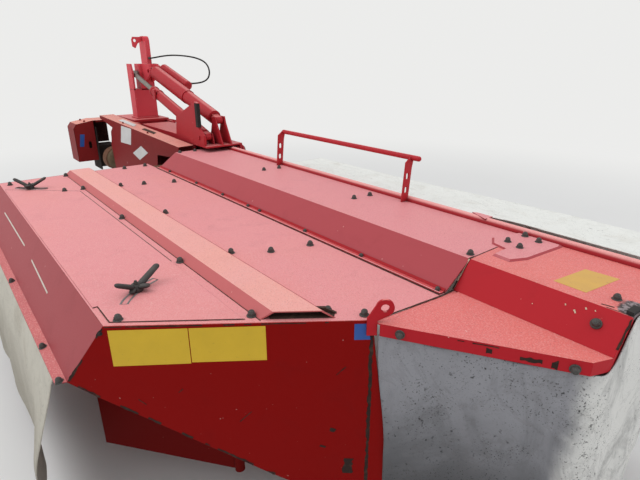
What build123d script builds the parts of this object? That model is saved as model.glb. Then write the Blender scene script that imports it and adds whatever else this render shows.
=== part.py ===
"""Disc mower conditioner, carried beside the tractor on a three-point headstock.

X points outwards along the mower, Y the way it drives, Z up.
The origin is the centre of the parking stand's foot, on the floor.
"""

import math
import os

from build123d import *

os.makedirs("parts", exist_ok=True)

# Clearances
seat_gap = 0.3
run_gap = 0.5
side_gap = 6
sheet = 4

# Hood: the flat rear deck, its outline and the raised front hood
deck_z = 980
hood_inner_x = 1230
front_inner_x = 1430
seam_x = 4084
wing_outer_x = 4630
deck_rear_y = -1556
lip_y = -556
ridge_y = -400
ridge_z = 1080
front_y = 0
end_rear_x = 3542
end_front_x = 4055
end_front_y = -861
rear_drop = 208
rear_reach = 121
rear_flange = 34

# Channel on the deck
channel_y = -1050
channel_base = 200
channel_top = 130
channel_height = 28

# Front tube and the frame beam under the front hood
tube_r = 24.15
beam_size = 120
beam_y = -70
beam_top_z = 1000

# Cutterbar and discs
disc_count = 7
disc_pitch = 428
disc_first_x = 1722
disc_y = -300
bar_width = 240
bar_low_z = 16
bar_high_z = 76
skid_thick = 8
skid_front_y = -130
skid_rear_y = -660
disc_low_z = 92
disc_thick = 16
disc_long = 400
disc_short = 270
blade_thick = 5
blade_reach = 262
blade_width = 44
blade_length = 110

# Conditioner rotor
rotor_y = -830
rotor_z = 470
rotor_tube_r = 110
rotor_reach = 290
rotor_inner_x = 1330
rotor_outer_x = 3740
rotor_shaft_r = 25
rotor_wall = 8
tine_rows = 6
tine_step = 120
tine_thick = 12

# Linkage in the X-Z plane: pivots of the arm, the lift cylinder, the springs
arm_pivot = (250, 1095)
arm_half_height = 65
arm_rear_y = -215
arm_front_y = 50
arm_end_x = 1370
arm_wall = 12
arm_hollow = 1010
float_pivot = (1560, 1060)
lift_y = -145
lift_top = (0, 1607)
lift_foot = (1480, 1180)
lift_barrel_r = 42
lift_rod_r = 22
lift_barrel_length = 1060
spring_y = -35
spring_top = (215, 1640)
spring_foot = (1470, 1298)
spring_tube_r = 60
spring_inner_r = 54
spring_tube_length = 760
store_y = 100
store_top = (150, 1655)
store_foot = (900, 1450)
store_r = 42
store_length = 540
pin_r = 15

# Headstock
base_low_z = 760
base_high_z = 1170
base_plate = 20
base_half_x = 150
base_high_x = 170
base_rear_y = -262
base_front_y = 82
cheek = 20
post_low_x = -200
post_high_x = 90
post_rear_y = -92
post_front_y = 20
post_top_z = 1700
post_flare_x = -370
post_flare_z = 1640
mast_low_x = -240
mast_high_x = -40
mast_top_z = 1955
hitch_half = 412
hitch_pin_r = 14
hitch_pin_length = 90
hitch_z = 550
hitch_y = 250
top_link_r = 12.75
top_link_z = 1110
stand_half = 30
stand_sleeve_half = 42
sleeve_low_z = 330
sleeve_length = 770
base_wall = 16
stand_foot_half = 110
stand_foot_thick = 12
cross_half = 50

# Drive: headstock gearbox, its guard, the friction clutch and the shaft
shaft_z = 830
shaft_start = (-60, -467)
shaft_end = (1080, -328)
gearbox_half = 105
stub_r = 17.45
stub_length = 85
guard_low_x = -350
guard_high_x = -100
box_low_x = -330
box_high_x = -130
box_rear_y = -560
box_front_y = -385
input_x = -285
joint_r = 30
clutch_r = 110
clutch_length = 90
shaft_tube_r = 38
shaft_inner_r = 31
cover_start = (0, -530)
cover_end = (1398, -360)
cover_width = 135

# Front guard, its bar and the doors that set the swath
guard_hinge_y = 84
guard_hinge_z = 1048
guard_front_y = 405
guard_front_z = 1036
guard_inner_x = 2230
guard_outer_x = 4600
guard_tube_r = 17
bar_z = 1300
bar_inner_x = 2300
bar_outer_x = 3480
door_radius = 350
door_thick = 5


def save(made, label):
    """Labels one finished piece and writes it."""
    made.part.label = label
    export_step(made.part, f"parts/{label}.step")


def outline_plate(points, plane, thickness):
    """A flat plate of one closed outline."""
    with BuildPart() as made:
        with BuildSketch(plane):
            with BuildLine():
                Polyline(*points, close=True)
            make_face()
        extrude(amount=thickness)
    return made


def ribbon(points, thickness):
    """Closed outline of an open line of folds, thickened to its left side."""
    ways = []
    for start, end in zip(points, points[1:]):
        run = math.dist(start, end)
        ways.append(((end[0] - start[0]) / run, (end[1] - start[1]) / run))
    offset_side = []
    for place, point in enumerate(points):
        before = ways[max(place - 1, 0)]
        after = ways[min(place, len(ways) - 1)]
        normal = (-before[1] - after[1], before[0] + after[0])
        scale = 2 * thickness / (normal[0] ** 2 + normal[1] ** 2)
        offset_side.append((point[0] + normal[0] * scale, point[1] + normal[1] * scale))
    return points + offset_side[::-1]


def along(start, end):
    """Length and direction in the X-Z plane from one pivot to another."""
    dx = end[0] - start[0]
    dz = end[1] - start[1]
    length = math.hypot(dx, dz)
    return length, (dx / length, 0, dz / length)


def link_plane(start, end, y, distance=0):
    """Plane across a link, its normal pointing from start to end."""
    _, way = along(start, end)
    origin = (start[0] + way[0] * distance, y, start[1] + way[2] * distance)
    return Plane(origin=origin, x_dir=(0, 1, 0), z_dir=way)


def across(x, y, z):
    """Plane whose normal points along +Y, at one pivot."""
    return Plane(origin=(x, y, z), x_dir=(1, 0, 0), z_dir=(0, 1, 0))


def upright(x, y=0, z=0):
    """Plane whose normal points outwards along +X."""
    return Plane(origin=(x, y, z), x_dir=(0, 1, 0), z_dir=(1, 0, 0))


# Rear deck
end_turn = math.atan2(end_front_y - deck_rear_y, end_front_x - end_rear_x)
end_plane = Plane(
    origin=(end_rear_x, deck_rear_y, 0),
    x_dir=(math.cos(end_turn), math.sin(end_turn), 0),
    z_dir=(math.sin(end_turn), -math.cos(end_turn), 0),
)
end_length = math.hypot(end_front_x - end_rear_x, end_front_y - deck_rear_y)
end_slope = (end_front_x - end_rear_x) / (end_front_y - deck_rear_y)


def end_x(y):
    """X of the slanting outer end plate's inner face at one Y."""
    return end_rear_x + (y - deck_rear_y) * end_slope


deck_points = [
    (hood_inner_x, deck_rear_y),
    (end_rear_x, deck_rear_y),
    (end_front_x, end_front_y),
    (seam_x, lip_y),
    (hood_inner_x, lip_y),
]
doors = [
    # name, pivot x, pivot y, rest direction of the handle, range each way
    ("outer", 3642, -1170, 218.5),
    ("inner", 1262, -1170, -45),
]
slot_half_angle = 17
slot_r = 8
stud_r = 5

with BuildPart() as rear_deck:
    with BuildSketch(Plane.XY.offset(deck_z - sheet)):
        with BuildLine():
            Polyline(*deck_points, close=True)
        make_face()
        for _, pivot_x, pivot_y, rest_angle in doors:
            with Locations((pivot_x, pivot_y)):
                with PolarLocations(0, 1, start_angle=rest_angle - slot_half_angle):
                    SlotArc(
                        CenterArc((0, 0), door_radius, 0, 2 * slot_half_angle),
                        2 * slot_r,
                        mode=Mode.SUBTRACT,
                    )
    extrude(amount=sheet)
save(rear_deck, "rear_deck")

# Channel across the deck, its outer end cut along the end plate
with BuildPart() as deck_channel:
    with BuildSketch(upright(hood_inner_x, channel_y, deck_z)):
        with BuildLine():
            Polyline(
                (-channel_base / 2, 0),
                (-channel_top / 2, channel_height),
                (channel_top / 2, channel_height),
                (channel_base / 2, 0),
                (channel_base / 2 - sheet * 1.8, 0),
                (channel_top / 2 - sheet, channel_height - sheet),
                (-channel_top / 2 + sheet, channel_height - sheet),
                (-channel_base / 2 + sheet * 1.8, 0),
                close=True,
            )
        make_face()
    extrude(amount=end_x(channel_y) - hood_inner_x + channel_base)
    split(bisect_by=end_plane.offset(-18), keep=Keep.BOTTOM)
save(deck_channel, "deck_channel")

# Rear panel, sloping down from the deck's rear edge to a bolting flange
rear_low_y = deck_rear_y - rear_reach
rear_low_z = deck_z - rear_drop
with BuildPart() as rear_panel:
    with BuildSketch(upright(hood_inner_x)):
        with BuildLine():
            Polyline(
                (deck_rear_y, deck_z),
                (rear_low_y, rear_low_z),
                (rear_low_y - rear_flange, rear_low_z - 8),
                (rear_low_y - rear_flange, rear_low_z - 8 - sheet),
                (rear_low_y + 2, rear_low_z - sheet),
                (deck_rear_y, deck_z - 2 * sheet),
                close=True,
            )
        make_face()
    extrude(amount=end_rear_x - hood_inner_x)
    split(bisect_by=end_plane, keep=Keep.BOTTOM)
save(rear_panel, "rear_panel")

# Outer end plate, slanting inwards to the rear; its lower edge rises to the rear.
# A flange turns outwards at its front edge, under the wing's ledge.
flange_turn = end_turn - math.radians(22)
flange_plane = Plane(
    origin=(end_front_x, end_front_y, 0),
    x_dir=(math.cos(flange_turn), math.sin(flange_turn), 0),
    z_dir=(math.sin(flange_turn), -math.cos(flange_turn), 0),
)
end_points = [
    (0, deck_z),
    (-149, rear_low_z),
    (-46, 701),
    (117, 598),
    (276, 494),
    (507, 347),
    (640, 270),
    (end_length, 250),
    (end_length, deck_z),
]
flange_points = [
    (0, 930),
    (18, 800),
    (46, 600),
    (62, 440),
    (60, 250),
    (0, 250),
]
with BuildPart() as outer_end_plate:
    with BuildSketch(end_plane):
        with BuildLine():
            Polyline(*end_points, close=True)
        make_face()
    extrude(amount=sheet)
    with BuildSketch(flange_plane):
        with BuildLine():
            Polyline(*flange_points, close=True)
        make_face()
    extrude(amount=sheet)
save(outer_end_plate, "outer_end_plate")

# Inner end plate, upright at the deck's inner end, cut away for the drive
inner_points = [
    (deck_rear_y, deck_z),
    (rear_low_y, rear_low_z),
    (rear_low_y + 90, 640),
    (-1250, 430),
    (-1000, 160),
    (-640, 100),
    (-560, 100),
    (-560, deck_z),
]
inner_plane = upright(hood_inner_x)
with BuildPart() as inner_end_plate:
    with BuildSketch(inner_plane.offset(-sheet)):
        with BuildLine():
            Polyline(*inner_points, close=True)
        make_face()
    extrude(amount=sheet)
save(inner_end_plate, "inner_end_plate")

# Raised front hood: lip on the deck, steep face, flat top, folded front edge
front_plane = upright(front_inner_x)
front_points = [
    (lip_y, deck_z),
    (lip_y + 24, deck_z),
    (lip_y + 24, deck_z + sheet),
    (ridge_y, ridge_z),
    (front_y, ridge_z),
    (front_y, ridge_z - 70),
    (front_y - sheet, ridge_z - 70),
    (front_y - sheet, ridge_z - sheet),
    (ridge_y + 3, ridge_z - sheet),
    (lip_y + 20, deck_z - sheet),
    (lip_y, deck_z - sheet),
]
front_hood = outline_plate(front_points, front_plane, seam_x - 2 - front_inner_x)
save(front_hood, "front_hood")

# Inner wall of the front hood
wall_points = [
    (lip_y + 34, 700),
    (lip_y + 34, deck_z - sheet),
    (ridge_y + 6, ridge_z - 3 * sheet),
    (front_y - 8, ridge_z - sheet - seat_gap),
    (front_y - 8, 700),
]
front_inner_wall = outline_plate(wall_points, front_plane.offset(2), sheet)
save(front_inner_wall, "front_inner_wall")

# Wing over the outermost disc: steep face, top, end wall, ledge and its flange
wing_foot_y = -485
wing_length = wing_outer_x - seam_x
ledge_drop = 30
with BuildPart() as wing:
    with BuildSketch(upright(seam_x)):
        with BuildLine():
            Polyline(
                (wing_foot_y, deck_z - ledge_drop),
                (wing_foot_y, deck_z),
                (ridge_y, ridge_z),
                (front_y, ridge_z),
                (front_y, ridge_z - 70),
                (front_y - sheet, ridge_z - 70),
                (front_y - sheet, ridge_z - sheet),
                (ridge_y + 3, ridge_z - sheet),
                (wing_foot_y + sheet, deck_z),
                (wing_foot_y + sheet, deck_z - ledge_drop),
                close=True,
            )
        make_face()
    extrude(amount=wing_length)
    with BuildSketch(upright(wing_outer_x - sheet)):
        with BuildLine():
            Polyline(
                (wing_foot_y, deck_z - ledge_drop),
                (wing_foot_y, deck_z),
                (ridge_y, ridge_z),
                (front_y, ridge_z),
                (front_y, deck_z - ledge_drop),
                close=True,
            )
        make_face()
    extrude(amount=sheet)
save(wing, "wing")

ledge_outline = [
    (seam_x, end_front_y - 4),
    (seam_x + 20, wing_foot_y - seat_gap),
    (wing_outer_x, wing_foot_y - seat_gap),
    (wing_outer_x - 26, wing_foot_y - 68),
]
ledge_depth = 45
with BuildPart() as wing_ledge:
    with BuildSketch(Plane.XY.offset(deck_z - ledge_depth)):
        with BuildLine():
            Polyline(*ledge_outline, close=True)
        make_face()
    extrude(amount=ledge_depth)
    ledge_faces = wing_ledge.faces().sort_by(Axis.Z)
    offset(amount=-sheet, openings=[ledge_faces[0]])
save(wing_ledge, "wing_ledge")

# Tube along the front edge, on the front hood's and the wing's fold
with BuildPart() as front_tube:
    with BuildSketch(upright(front_inner_x, front_y + tube_r + seat_gap, ridge_z - 27)):
        Circle(tube_r)
        Circle(tube_r - 4, mode=Mode.SUBTRACT)
    extrude(amount=wing_outer_x - front_inner_x)
save(front_tube, "front_tube")

# Frame beam under the front hood, its carrying lugs and the two legs to the cutterbar
leg_thick = 14
leg_inner_x = front_inner_x + 20
leg_outer_x = 4560
beam_low_z = beam_top_z - beam_size
lug_thick = 20
with BuildPart() as frame_beam:
    with BuildSketch(upright(leg_inner_x, beam_y, beam_low_z + beam_size / 2)):
        Rectangle(beam_size, beam_size)
        Rectangle(beam_size - 16, beam_size - 16, mode=Mode.SUBTRACT)
    extrude(amount=leg_outer_x - leg_inner_x)
save(frame_beam, "frame_beam")

leg_points = [
    (disc_y - bar_width / 2, bar_high_z + 50),
    (disc_y - bar_width / 2, bar_low_z),
    (disc_y - bar_width / 2 - 60, bar_low_z),
    (-540, 260),
    (-520, beam_low_z + 20),
    (beam_y - beam_size / 2, beam_top_z - 10),
    (beam_y + beam_size / 2, beam_top_z - 10),
    (beam_y + beam_size / 2, beam_low_z - 20),
    (-360, 500),
]
for leg_name, leg_x in (("inner_leg", leg_inner_x - leg_thick), ("outer_leg", leg_outer_x)):
    leg_plane = upright(leg_x)
    save(outline_plate(leg_points, leg_plane, leg_thick), leg_name)

# Cutterbar: flat gear case with rounded edges, and a skid under each disc
bar_start_x = leg_inner_x - leg_thick
bar_end_x = leg_outer_x + leg_thick
with BuildPart() as cutterbar:
    with BuildSketch(Plane(origin=(bar_start_x, disc_y, (bar_low_z + bar_high_z) / 2), x_dir=(0, 1, 0), z_dir=(1, 0, 0))):
        RectangleRounded(bar_width - 2 * seat_gap, bar_high_z - bar_low_z, 18)
    extrude(amount=bar_end_x - bar_start_x)
    for number in range(disc_count):
        with BuildSketch(Plane.XY.offset(bar_high_z)):
            with Locations((disc_first_x + number * disc_pitch, disc_y)):
                Circle(52)
        extrude(amount=disc_low_z - bar_high_z - seat_gap)
save(cutterbar, "cutterbar")

skid_width = 300
with BuildPart() as skids:
    for number in range(disc_count):
        skid_x = disc_first_x + number * disc_pitch
        with BuildSketch(upright(skid_x - skid_width / 2)):
            with BuildLine():
                Polyline(
                    (skid_front_y - 20, skid_thick),
                    (skid_front_y + 18, bar_high_z - 20),
                    (skid_front_y + 28, bar_high_z - 22),
                    (skid_front_y - 8, 0),
                    (skid_rear_y, 0),
                    (skid_rear_y - 40, 26),
                    (skid_rear_y - 34, 32),
                    (skid_rear_y + 4, skid_thick),
                    (disc_y - bar_width / 2, skid_thick),
                    (disc_y - bar_width / 2 + 20, bar_low_z),
                    (disc_y + bar_width / 2 - 20, bar_low_z),
                    close=True,
                )
            make_face()
        extrude(amount=skid_width)
save(skids, "skids")

# Discs: a domed oval plate, its hub, and a blade at each end
blade_pin_at = disc_long / 2 - 30
for number in range(disc_count):
    disc_x = disc_first_x + number * disc_pitch
    phase = 90 * (number % 2)
    disc_plane = Plane(
        origin=(disc_x, disc_y, disc_low_z),
        x_dir=(math.cos(math.radians(phase)), math.sin(math.radians(phase)), 0),
        z_dir=(0, 0, 1),
    )
    with BuildPart() as disc:
        with BuildSketch(disc_plane):
            Ellipse(disc_long / 2, disc_short / 2)
        extrude(amount=disc_thick)
        with BuildSketch(disc_plane.offset(disc_thick)):
            Circle(92)
        extrude(amount=34, taper=28)
        with BuildSketch(disc_plane.offset(-blade_thick)):
            with Locations((blade_reach - blade_length / 2, 0), (blade_length / 2 - blade_reach, 0)):
                Rectangle(blade_length, blade_width)
        extrude(amount=blade_thick)
    save(disc, f"disc_{number + 1}")

# Conditioner rotor: tube, shaft ends and rows of two-finger steel tines
with BuildPart() as rotor:
    with BuildSketch(upright(rotor_inner_x, rotor_y, rotor_z)):
        Circle(rotor_tube_r)
        Circle(rotor_tube_r - rotor_wall, mode=Mode.SUBTRACT)
    extrude(amount=rotor_outer_x - rotor_inner_x)
    for hub_x in (rotor_inner_x, rotor_outer_x - rotor_wall):
        with BuildSketch(upright(hub_x, rotor_y, rotor_z)):
            Circle(rotor_tube_r - rotor_wall / 2)
            with PolarLocations((rotor_tube_r + rotor_shaft_r) / 2, 4):
                Circle(rotor_shaft_r - 3, mode=Mode.SUBTRACT)
        extrude(amount=rotor_wall)
    with BuildSketch(upright(hood_inner_x + 2, rotor_y, rotor_z)):
        Circle(rotor_shaft_r)
    extrude(amount=rotor_outer_x + 60 - hood_inner_x - 2)
    tine_count = int((rotor_outer_x - rotor_inner_x - 160) / tine_step)
    for row in range(tine_rows):
        turn = math.radians(360 / tine_rows * row)
        shift = tine_step / 2 * (row % 2)
        tine_plane = Plane(
            origin=(rotor_inner_x + 60 + shift, rotor_y, rotor_z),
            x_dir=(0, math.cos(turn), math.sin(turn)),
            z_dir=(1, 0, 0),
        )
        with BuildSketch(tine_plane):
            with BuildLine():
                Polyline(
                    (rotor_tube_r - 4, -26),
                    (rotor_tube_r + 46, -20),
                    (rotor_reach, -34),
                    (rotor_reach, -14),
                    (rotor_tube_r + 50, 18),
                    (rotor_tube_r - 4, 26),
                    close=True,
                )
            make_face()
        tine = extrude(amount=tine_thick, mode=Mode.PRIVATE)
        with Locations(*[(tine_step * place, 0, 0) for place in range(tine_count)]):
            add(tine)
save(rotor, "conditioner_rotor")

# Bearing bracket for the rotor's outer end, hung under the deck
bracket_x = rotor_outer_x + 40
with BuildPart() as rotor_bracket:
    with BuildSketch(upright(bracket_x)):
        with BuildLine():
            Polyline(
                (rotor_y - 70, rotor_z - 60),
                (rotor_y + 70, rotor_z - 60),
                (rotor_y + 120, deck_z - sheet),
                (rotor_y - 120, deck_z - sheet),
                close=True,
            )
        make_face()
        with Locations((rotor_y, rotor_z)):
            Circle(rotor_shaft_r + seat_gap, mode=Mode.SUBTRACT)
    extrude(amount=12)
save(rotor_bracket, "rotor_bracket")

# Gearbox at the mower's inner end, with the stub that the drive shaft meets
mower_gearbox_x = 1130
with BuildPart() as mower_gearbox:
    with BuildSketch(upright(mower_gearbox_x)):
        with Locations((shaft_end[1] - 130, shaft_z)):
            RectangleRounded(420, 2 * gearbox_half, 30)
    extrude(amount=hood_inner_x - sheet - mower_gearbox_x - seat_gap)
    with BuildSketch(Plane(origin=(mower_gearbox_x, shaft_end[1], shaft_z), x_dir=(0, 1, 0), z_dir=(-1, 0, 0))):
        Circle(28)
    extrude(amount=14)
save(mower_gearbox, "mower_gearbox")

# Headstock: body block with the arm's ears, cross tube, hitch plates, stand sleeve
with BuildPart() as headstock:
    with BuildSketch(Plane.XY.offset(base_low_z)):
        with Locations((0, (base_rear_y + base_front_y) / 2)):
            Rectangle(2 * base_half_x, base_front_y - base_rear_y)
    extrude(amount=base_high_z - base_low_z)
    for cheek_y in (base_rear_y, base_front_y - cheek):
        with BuildSketch(across(0, cheek_y, 0)):
            with BuildLine():
                Polyline(
                    (0, -base_high_z),
                    (270, -base_high_z),
                    (320, -arm_pivot[1] - 40),
                    (320, -arm_pivot[1] + 50),
                    (0, -940),
                    close=True,
                )
            make_face()
            with Locations((arm_pivot[0], -arm_pivot[1])):
                Circle(pin_r + 5 + seat_gap, mode=Mode.SUBTRACT)
        extrude(amount=cheek)
    with BuildSketch(Plane.XY.offset(base_high_z)):
        with Locations(((post_flare_x + base_high_x) / 2, (base_rear_y + base_front_y) / 2)):
            Rectangle(base_high_x - post_flare_x, base_front_y - base_rear_y)
    extrude(amount=base_plate)
    with BuildSketch(Plane.YZ.offset(-hitch_half - 20)):
        with Locations((base_front_y + cross_half + 20, hitch_z + 60)):
            Rectangle(2 * cross_half, 2 * cross_half)
    extrude(amount=2 * hitch_half + 40)
    with BuildSketch(Plane.XZ.offset(-base_front_y)):
        with Locations((-95, (hitch_z + base_high_z) / 2 - 20), (95, (hitch_z + base_high_z) / 2 - 20)):
            Rectangle(70, base_high_z - hitch_z - 40)
    extrude(amount=-20)
    for side in (-1, 1):
        with BuildSketch(Plane.YZ.offset(side * hitch_half - 10)):
            with BuildLine():
                Polyline(
                    (base_front_y + 20, hitch_z + 110),
                    (base_front_y + 120, hitch_z + 110),
                    (hitch_y + 45, hitch_z + 45),
                    (hitch_y + 45, hitch_z - 45),
                    (hitch_y - 45, hitch_z - 45),
                    (base_front_y + 20, hitch_z + 10),
                    close=True,
                )
            make_face()
        extrude(amount=20)
        with BuildSketch(Plane(origin=(side * (hitch_half + 10), hitch_y, hitch_z), x_dir=(0, 1, 0), z_dir=(side, 0, 0))):
            Circle(hitch_pin_r)
        extrude(amount=hitch_pin_length)
    for ear_x in (-46, 26):
        with BuildSketch(Plane.YZ.offset(ear_x)):
            with BuildLine():
                Polyline(
                    (base_front_y, base_high_z - 10),
                    (base_front_y + 60, base_high_z - 10),
                    (base_front_y + 150, top_link_z + 28),
                    (base_front_y + 150, top_link_z - 28),
                    (base_front_y, top_link_z - 90),
                    close=True,
                )
            make_face()
            with Locations((base_front_y + 120, top_link_z)):
                Circle(top_link_r, mode=Mode.SUBTRACT)
        extrude(amount=20)
    with BuildSketch(Plane.XY.offset(base_low_z)):
        with Locations((0, (base_rear_y + base_front_y) / 2)):
            Rectangle(2 * base_half_x - 2 * base_wall, base_front_y - base_rear_y - 2 * base_wall)
    extrude(amount=base_high_z - base_low_z - base_wall, mode=Mode.SUBTRACT)
    with BuildSketch(Plane.XY.offset(sleeve_low_z)):
        Rectangle(2 * stand_sleeve_half, 2 * stand_sleeve_half)
    extrude(amount=base_high_z - sleeve_low_z)
    with BuildSketch(Plane.XY.offset(sleeve_low_z)):
        Rectangle(2 * (stand_half + run_gap), 2 * (stand_half + run_gap))
    extrude(amount=sleeve_length, mode=Mode.SUBTRACT)
    with BuildSketch(Plane.YZ.offset(-30)):
        with Locations(((stand_sleeve_half + base_front_y + 20) / 2, hitch_z + 60)):
            Rectangle(base_front_y + 20 - stand_sleeve_half, 80)
    extrude(amount=60)
    # Arm reaching back to the headstock gearbox
    with BuildSketch(across(0, box_front_y, 0)):
        with Locations((-162, -(base_low_z + 50))):
            Rectangle(125, 100)
    extrude(amount=base_rear_y - box_front_y)
save(headstock, "headstock_frame")

# Parking stand: square leg with a foot plate
with BuildPart() as stand:
    with BuildSketch(Plane.XY):
        RectangleRounded(2 * stand_foot_half, 2 * stand_foot_half, 20)
    extrude(amount=stand_foot_thick)
    with BuildSketch(Plane.XY.offset(stand_foot_thick)):
        Rectangle(2 * stand_half, 2 * stand_half)
    extrude(amount=740 - stand_foot_thick)
save(stand, "parking_stand")

# Post: fabricated tower on the base plate, with ears for the cylinder and the springs
post_low_z = base_high_z + base_plate
ear_thick = 16
with BuildPart() as post:
    with BuildSketch(Plane.XY.offset(post_low_z)):
        with BuildLine():
            Polyline(
                (post_low_x, post_front_y),
                (post_low_x, post_rear_y + 60),
                (post_low_x + 60, post_rear_y),
                (post_high_x - 40, post_rear_y),
                (post_high_x, post_rear_y + 40),
                (post_high_x, post_front_y),
                close=True,
            )
        make_face()
    extrude(amount=post_top_z - post_low_z)
    with BuildSketch(across(0, post_rear_y + 60, 0)):
        with BuildLine():
            Polyline(
                (post_low_x, -post_low_z),
                (post_flare_x, -post_low_z),
                (post_low_x, -post_flare_z),
                close=True,
            )
        make_face()
    extrude(amount=post_front_y - post_rear_y - 60)
    for ear_y in (lift_y - 22 - side_gap - ear_thick, lift_y + 22 + side_gap):
        with BuildSketch(across(0, ear_y, 0)):
            with BuildLine():
                Polyline(
                    (post_low_x, -post_top_z),
                    (20, -post_top_z),
                    (50, -lift_top[1] - 20),
                    (30, -lift_top[1] + 50),
                    (-50, -1480),
                    (post_low_x, -1420),
                    close=True,
                )
            make_face()
        extrude(amount=ear_thick)
    with BuildSketch(across(0, lift_y - 22 - side_gap - ear_thick, 0)):
        with BuildLine():
            Polyline((post_low_x, -post_top_z), (post_low_x + 60, -post_top_z), (post_low_x + 60, -1420), (post_low_x, -1420), close=True)
        make_face()
    extrude(amount=post_rear_y + 62 - (lift_y - 22 - side_gap - ear_thick))
    for ear_y in (spring_y - 26 - side_gap - ear_thick, spring_y + 26 + side_gap):
        with BuildSketch(across(0, ear_y, 0)):
            with BuildLine():
                Polyline(
                    (post_high_x - 120, -post_top_z),
                    (spring_top[0] + 20, -post_top_z),
                    (spring_top[0] + 42, -spring_top[1]),
                    (spring_top[0] + 20, -spring_top[1] + 40),
                    (post_high_x - 120, -1480),
                    close=True,
                )
            make_face()
            with Locations((spring_top[0], -spring_top[1])):
                Circle(pin_r + seat_gap, mode=Mode.SUBTRACT)
        extrude(amount=ear_thick)
save(post, "post")

# Mast: box section behind the post, with a round top
mast_mid_x = (mast_low_x + mast_high_x) / 2
mast_r = (mast_high_x - mast_low_x) / 2
with BuildPart() as mast:
    with BuildSketch(across(0, post_front_y, 0)):
        with Locations((mast_mid_x, -(post_low_z + mast_top_z - mast_r) / 2)):
            Rectangle(2 * mast_r, mast_top_z - mast_r - post_low_z)
        with Locations((mast_mid_x, -mast_top_z + mast_r)):
            Circle(mast_r)
    extrude(amount=base_front_y - post_front_y - seat_gap)
save(mast, "mast")

# Headstock gearbox: case, back plate, input stub, and the ball of its output joint
with BuildPart() as gearbox:
    with BuildSketch(upright(box_low_x)):
        with Locations(((box_rear_y + box_front_y) / 2, shaft_z)):
            Rectangle(box_front_y - box_rear_y, 2 * gearbox_half)
    extrude(amount=box_high_x - box_low_x)
    with BuildSketch(across(0, box_rear_y, 0)):
        with Locations(((guard_low_x + guard_high_x) / 2, -(shaft_z + 80))):
            Rectangle(guard_high_x - guard_low_x - 2 * sheet, 420)
    extrude(amount=10)
    with BuildSketch(upright(box_high_x, shaft_start[1], shaft_z)):
        Circle(22)
    extrude(amount=shaft_start[0] - box_high_x)
    with BuildSketch(across(shaft_start[0], shaft_start[1] - joint_r, shaft_z)):
        Circle(joint_r)
    extrude(amount=2 * joint_r)
    with BuildSketch(across(input_x, box_front_y, shaft_z)):
        Circle(44)
    extrude(amount=30)
    with BuildSketch(across(input_x, box_front_y + 30, shaft_z)):
        Circle(stub_r)
    extrude(amount=stub_length)
save(gearbox, "headstock_gearbox")

guard_plane = upright(guard_low_x)
with BuildPart() as gearbox_guard:
    with BuildSketch(guard_plane):
        with BuildLine():
            Polyline((-755, 700), (-755, 1110), (-725, 1150), (-540, 1150), (-540, 700), close=True)
        make_face()
    extrude(amount=guard_high_x - guard_low_x)
    with BuildSketch(guard_plane.offset(sheet)):
        with BuildLine():
            Polyline((-751, 699), (-751, 1106), (-723, 1146), (-539, 1146), (-539, 699), close=True)
        make_face()
    extrude(amount=guard_high_x - guard_low_x - 2 * sheet, mode=Mode.SUBTRACT)
save(gearbox_guard, "gearbox_guard")

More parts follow.
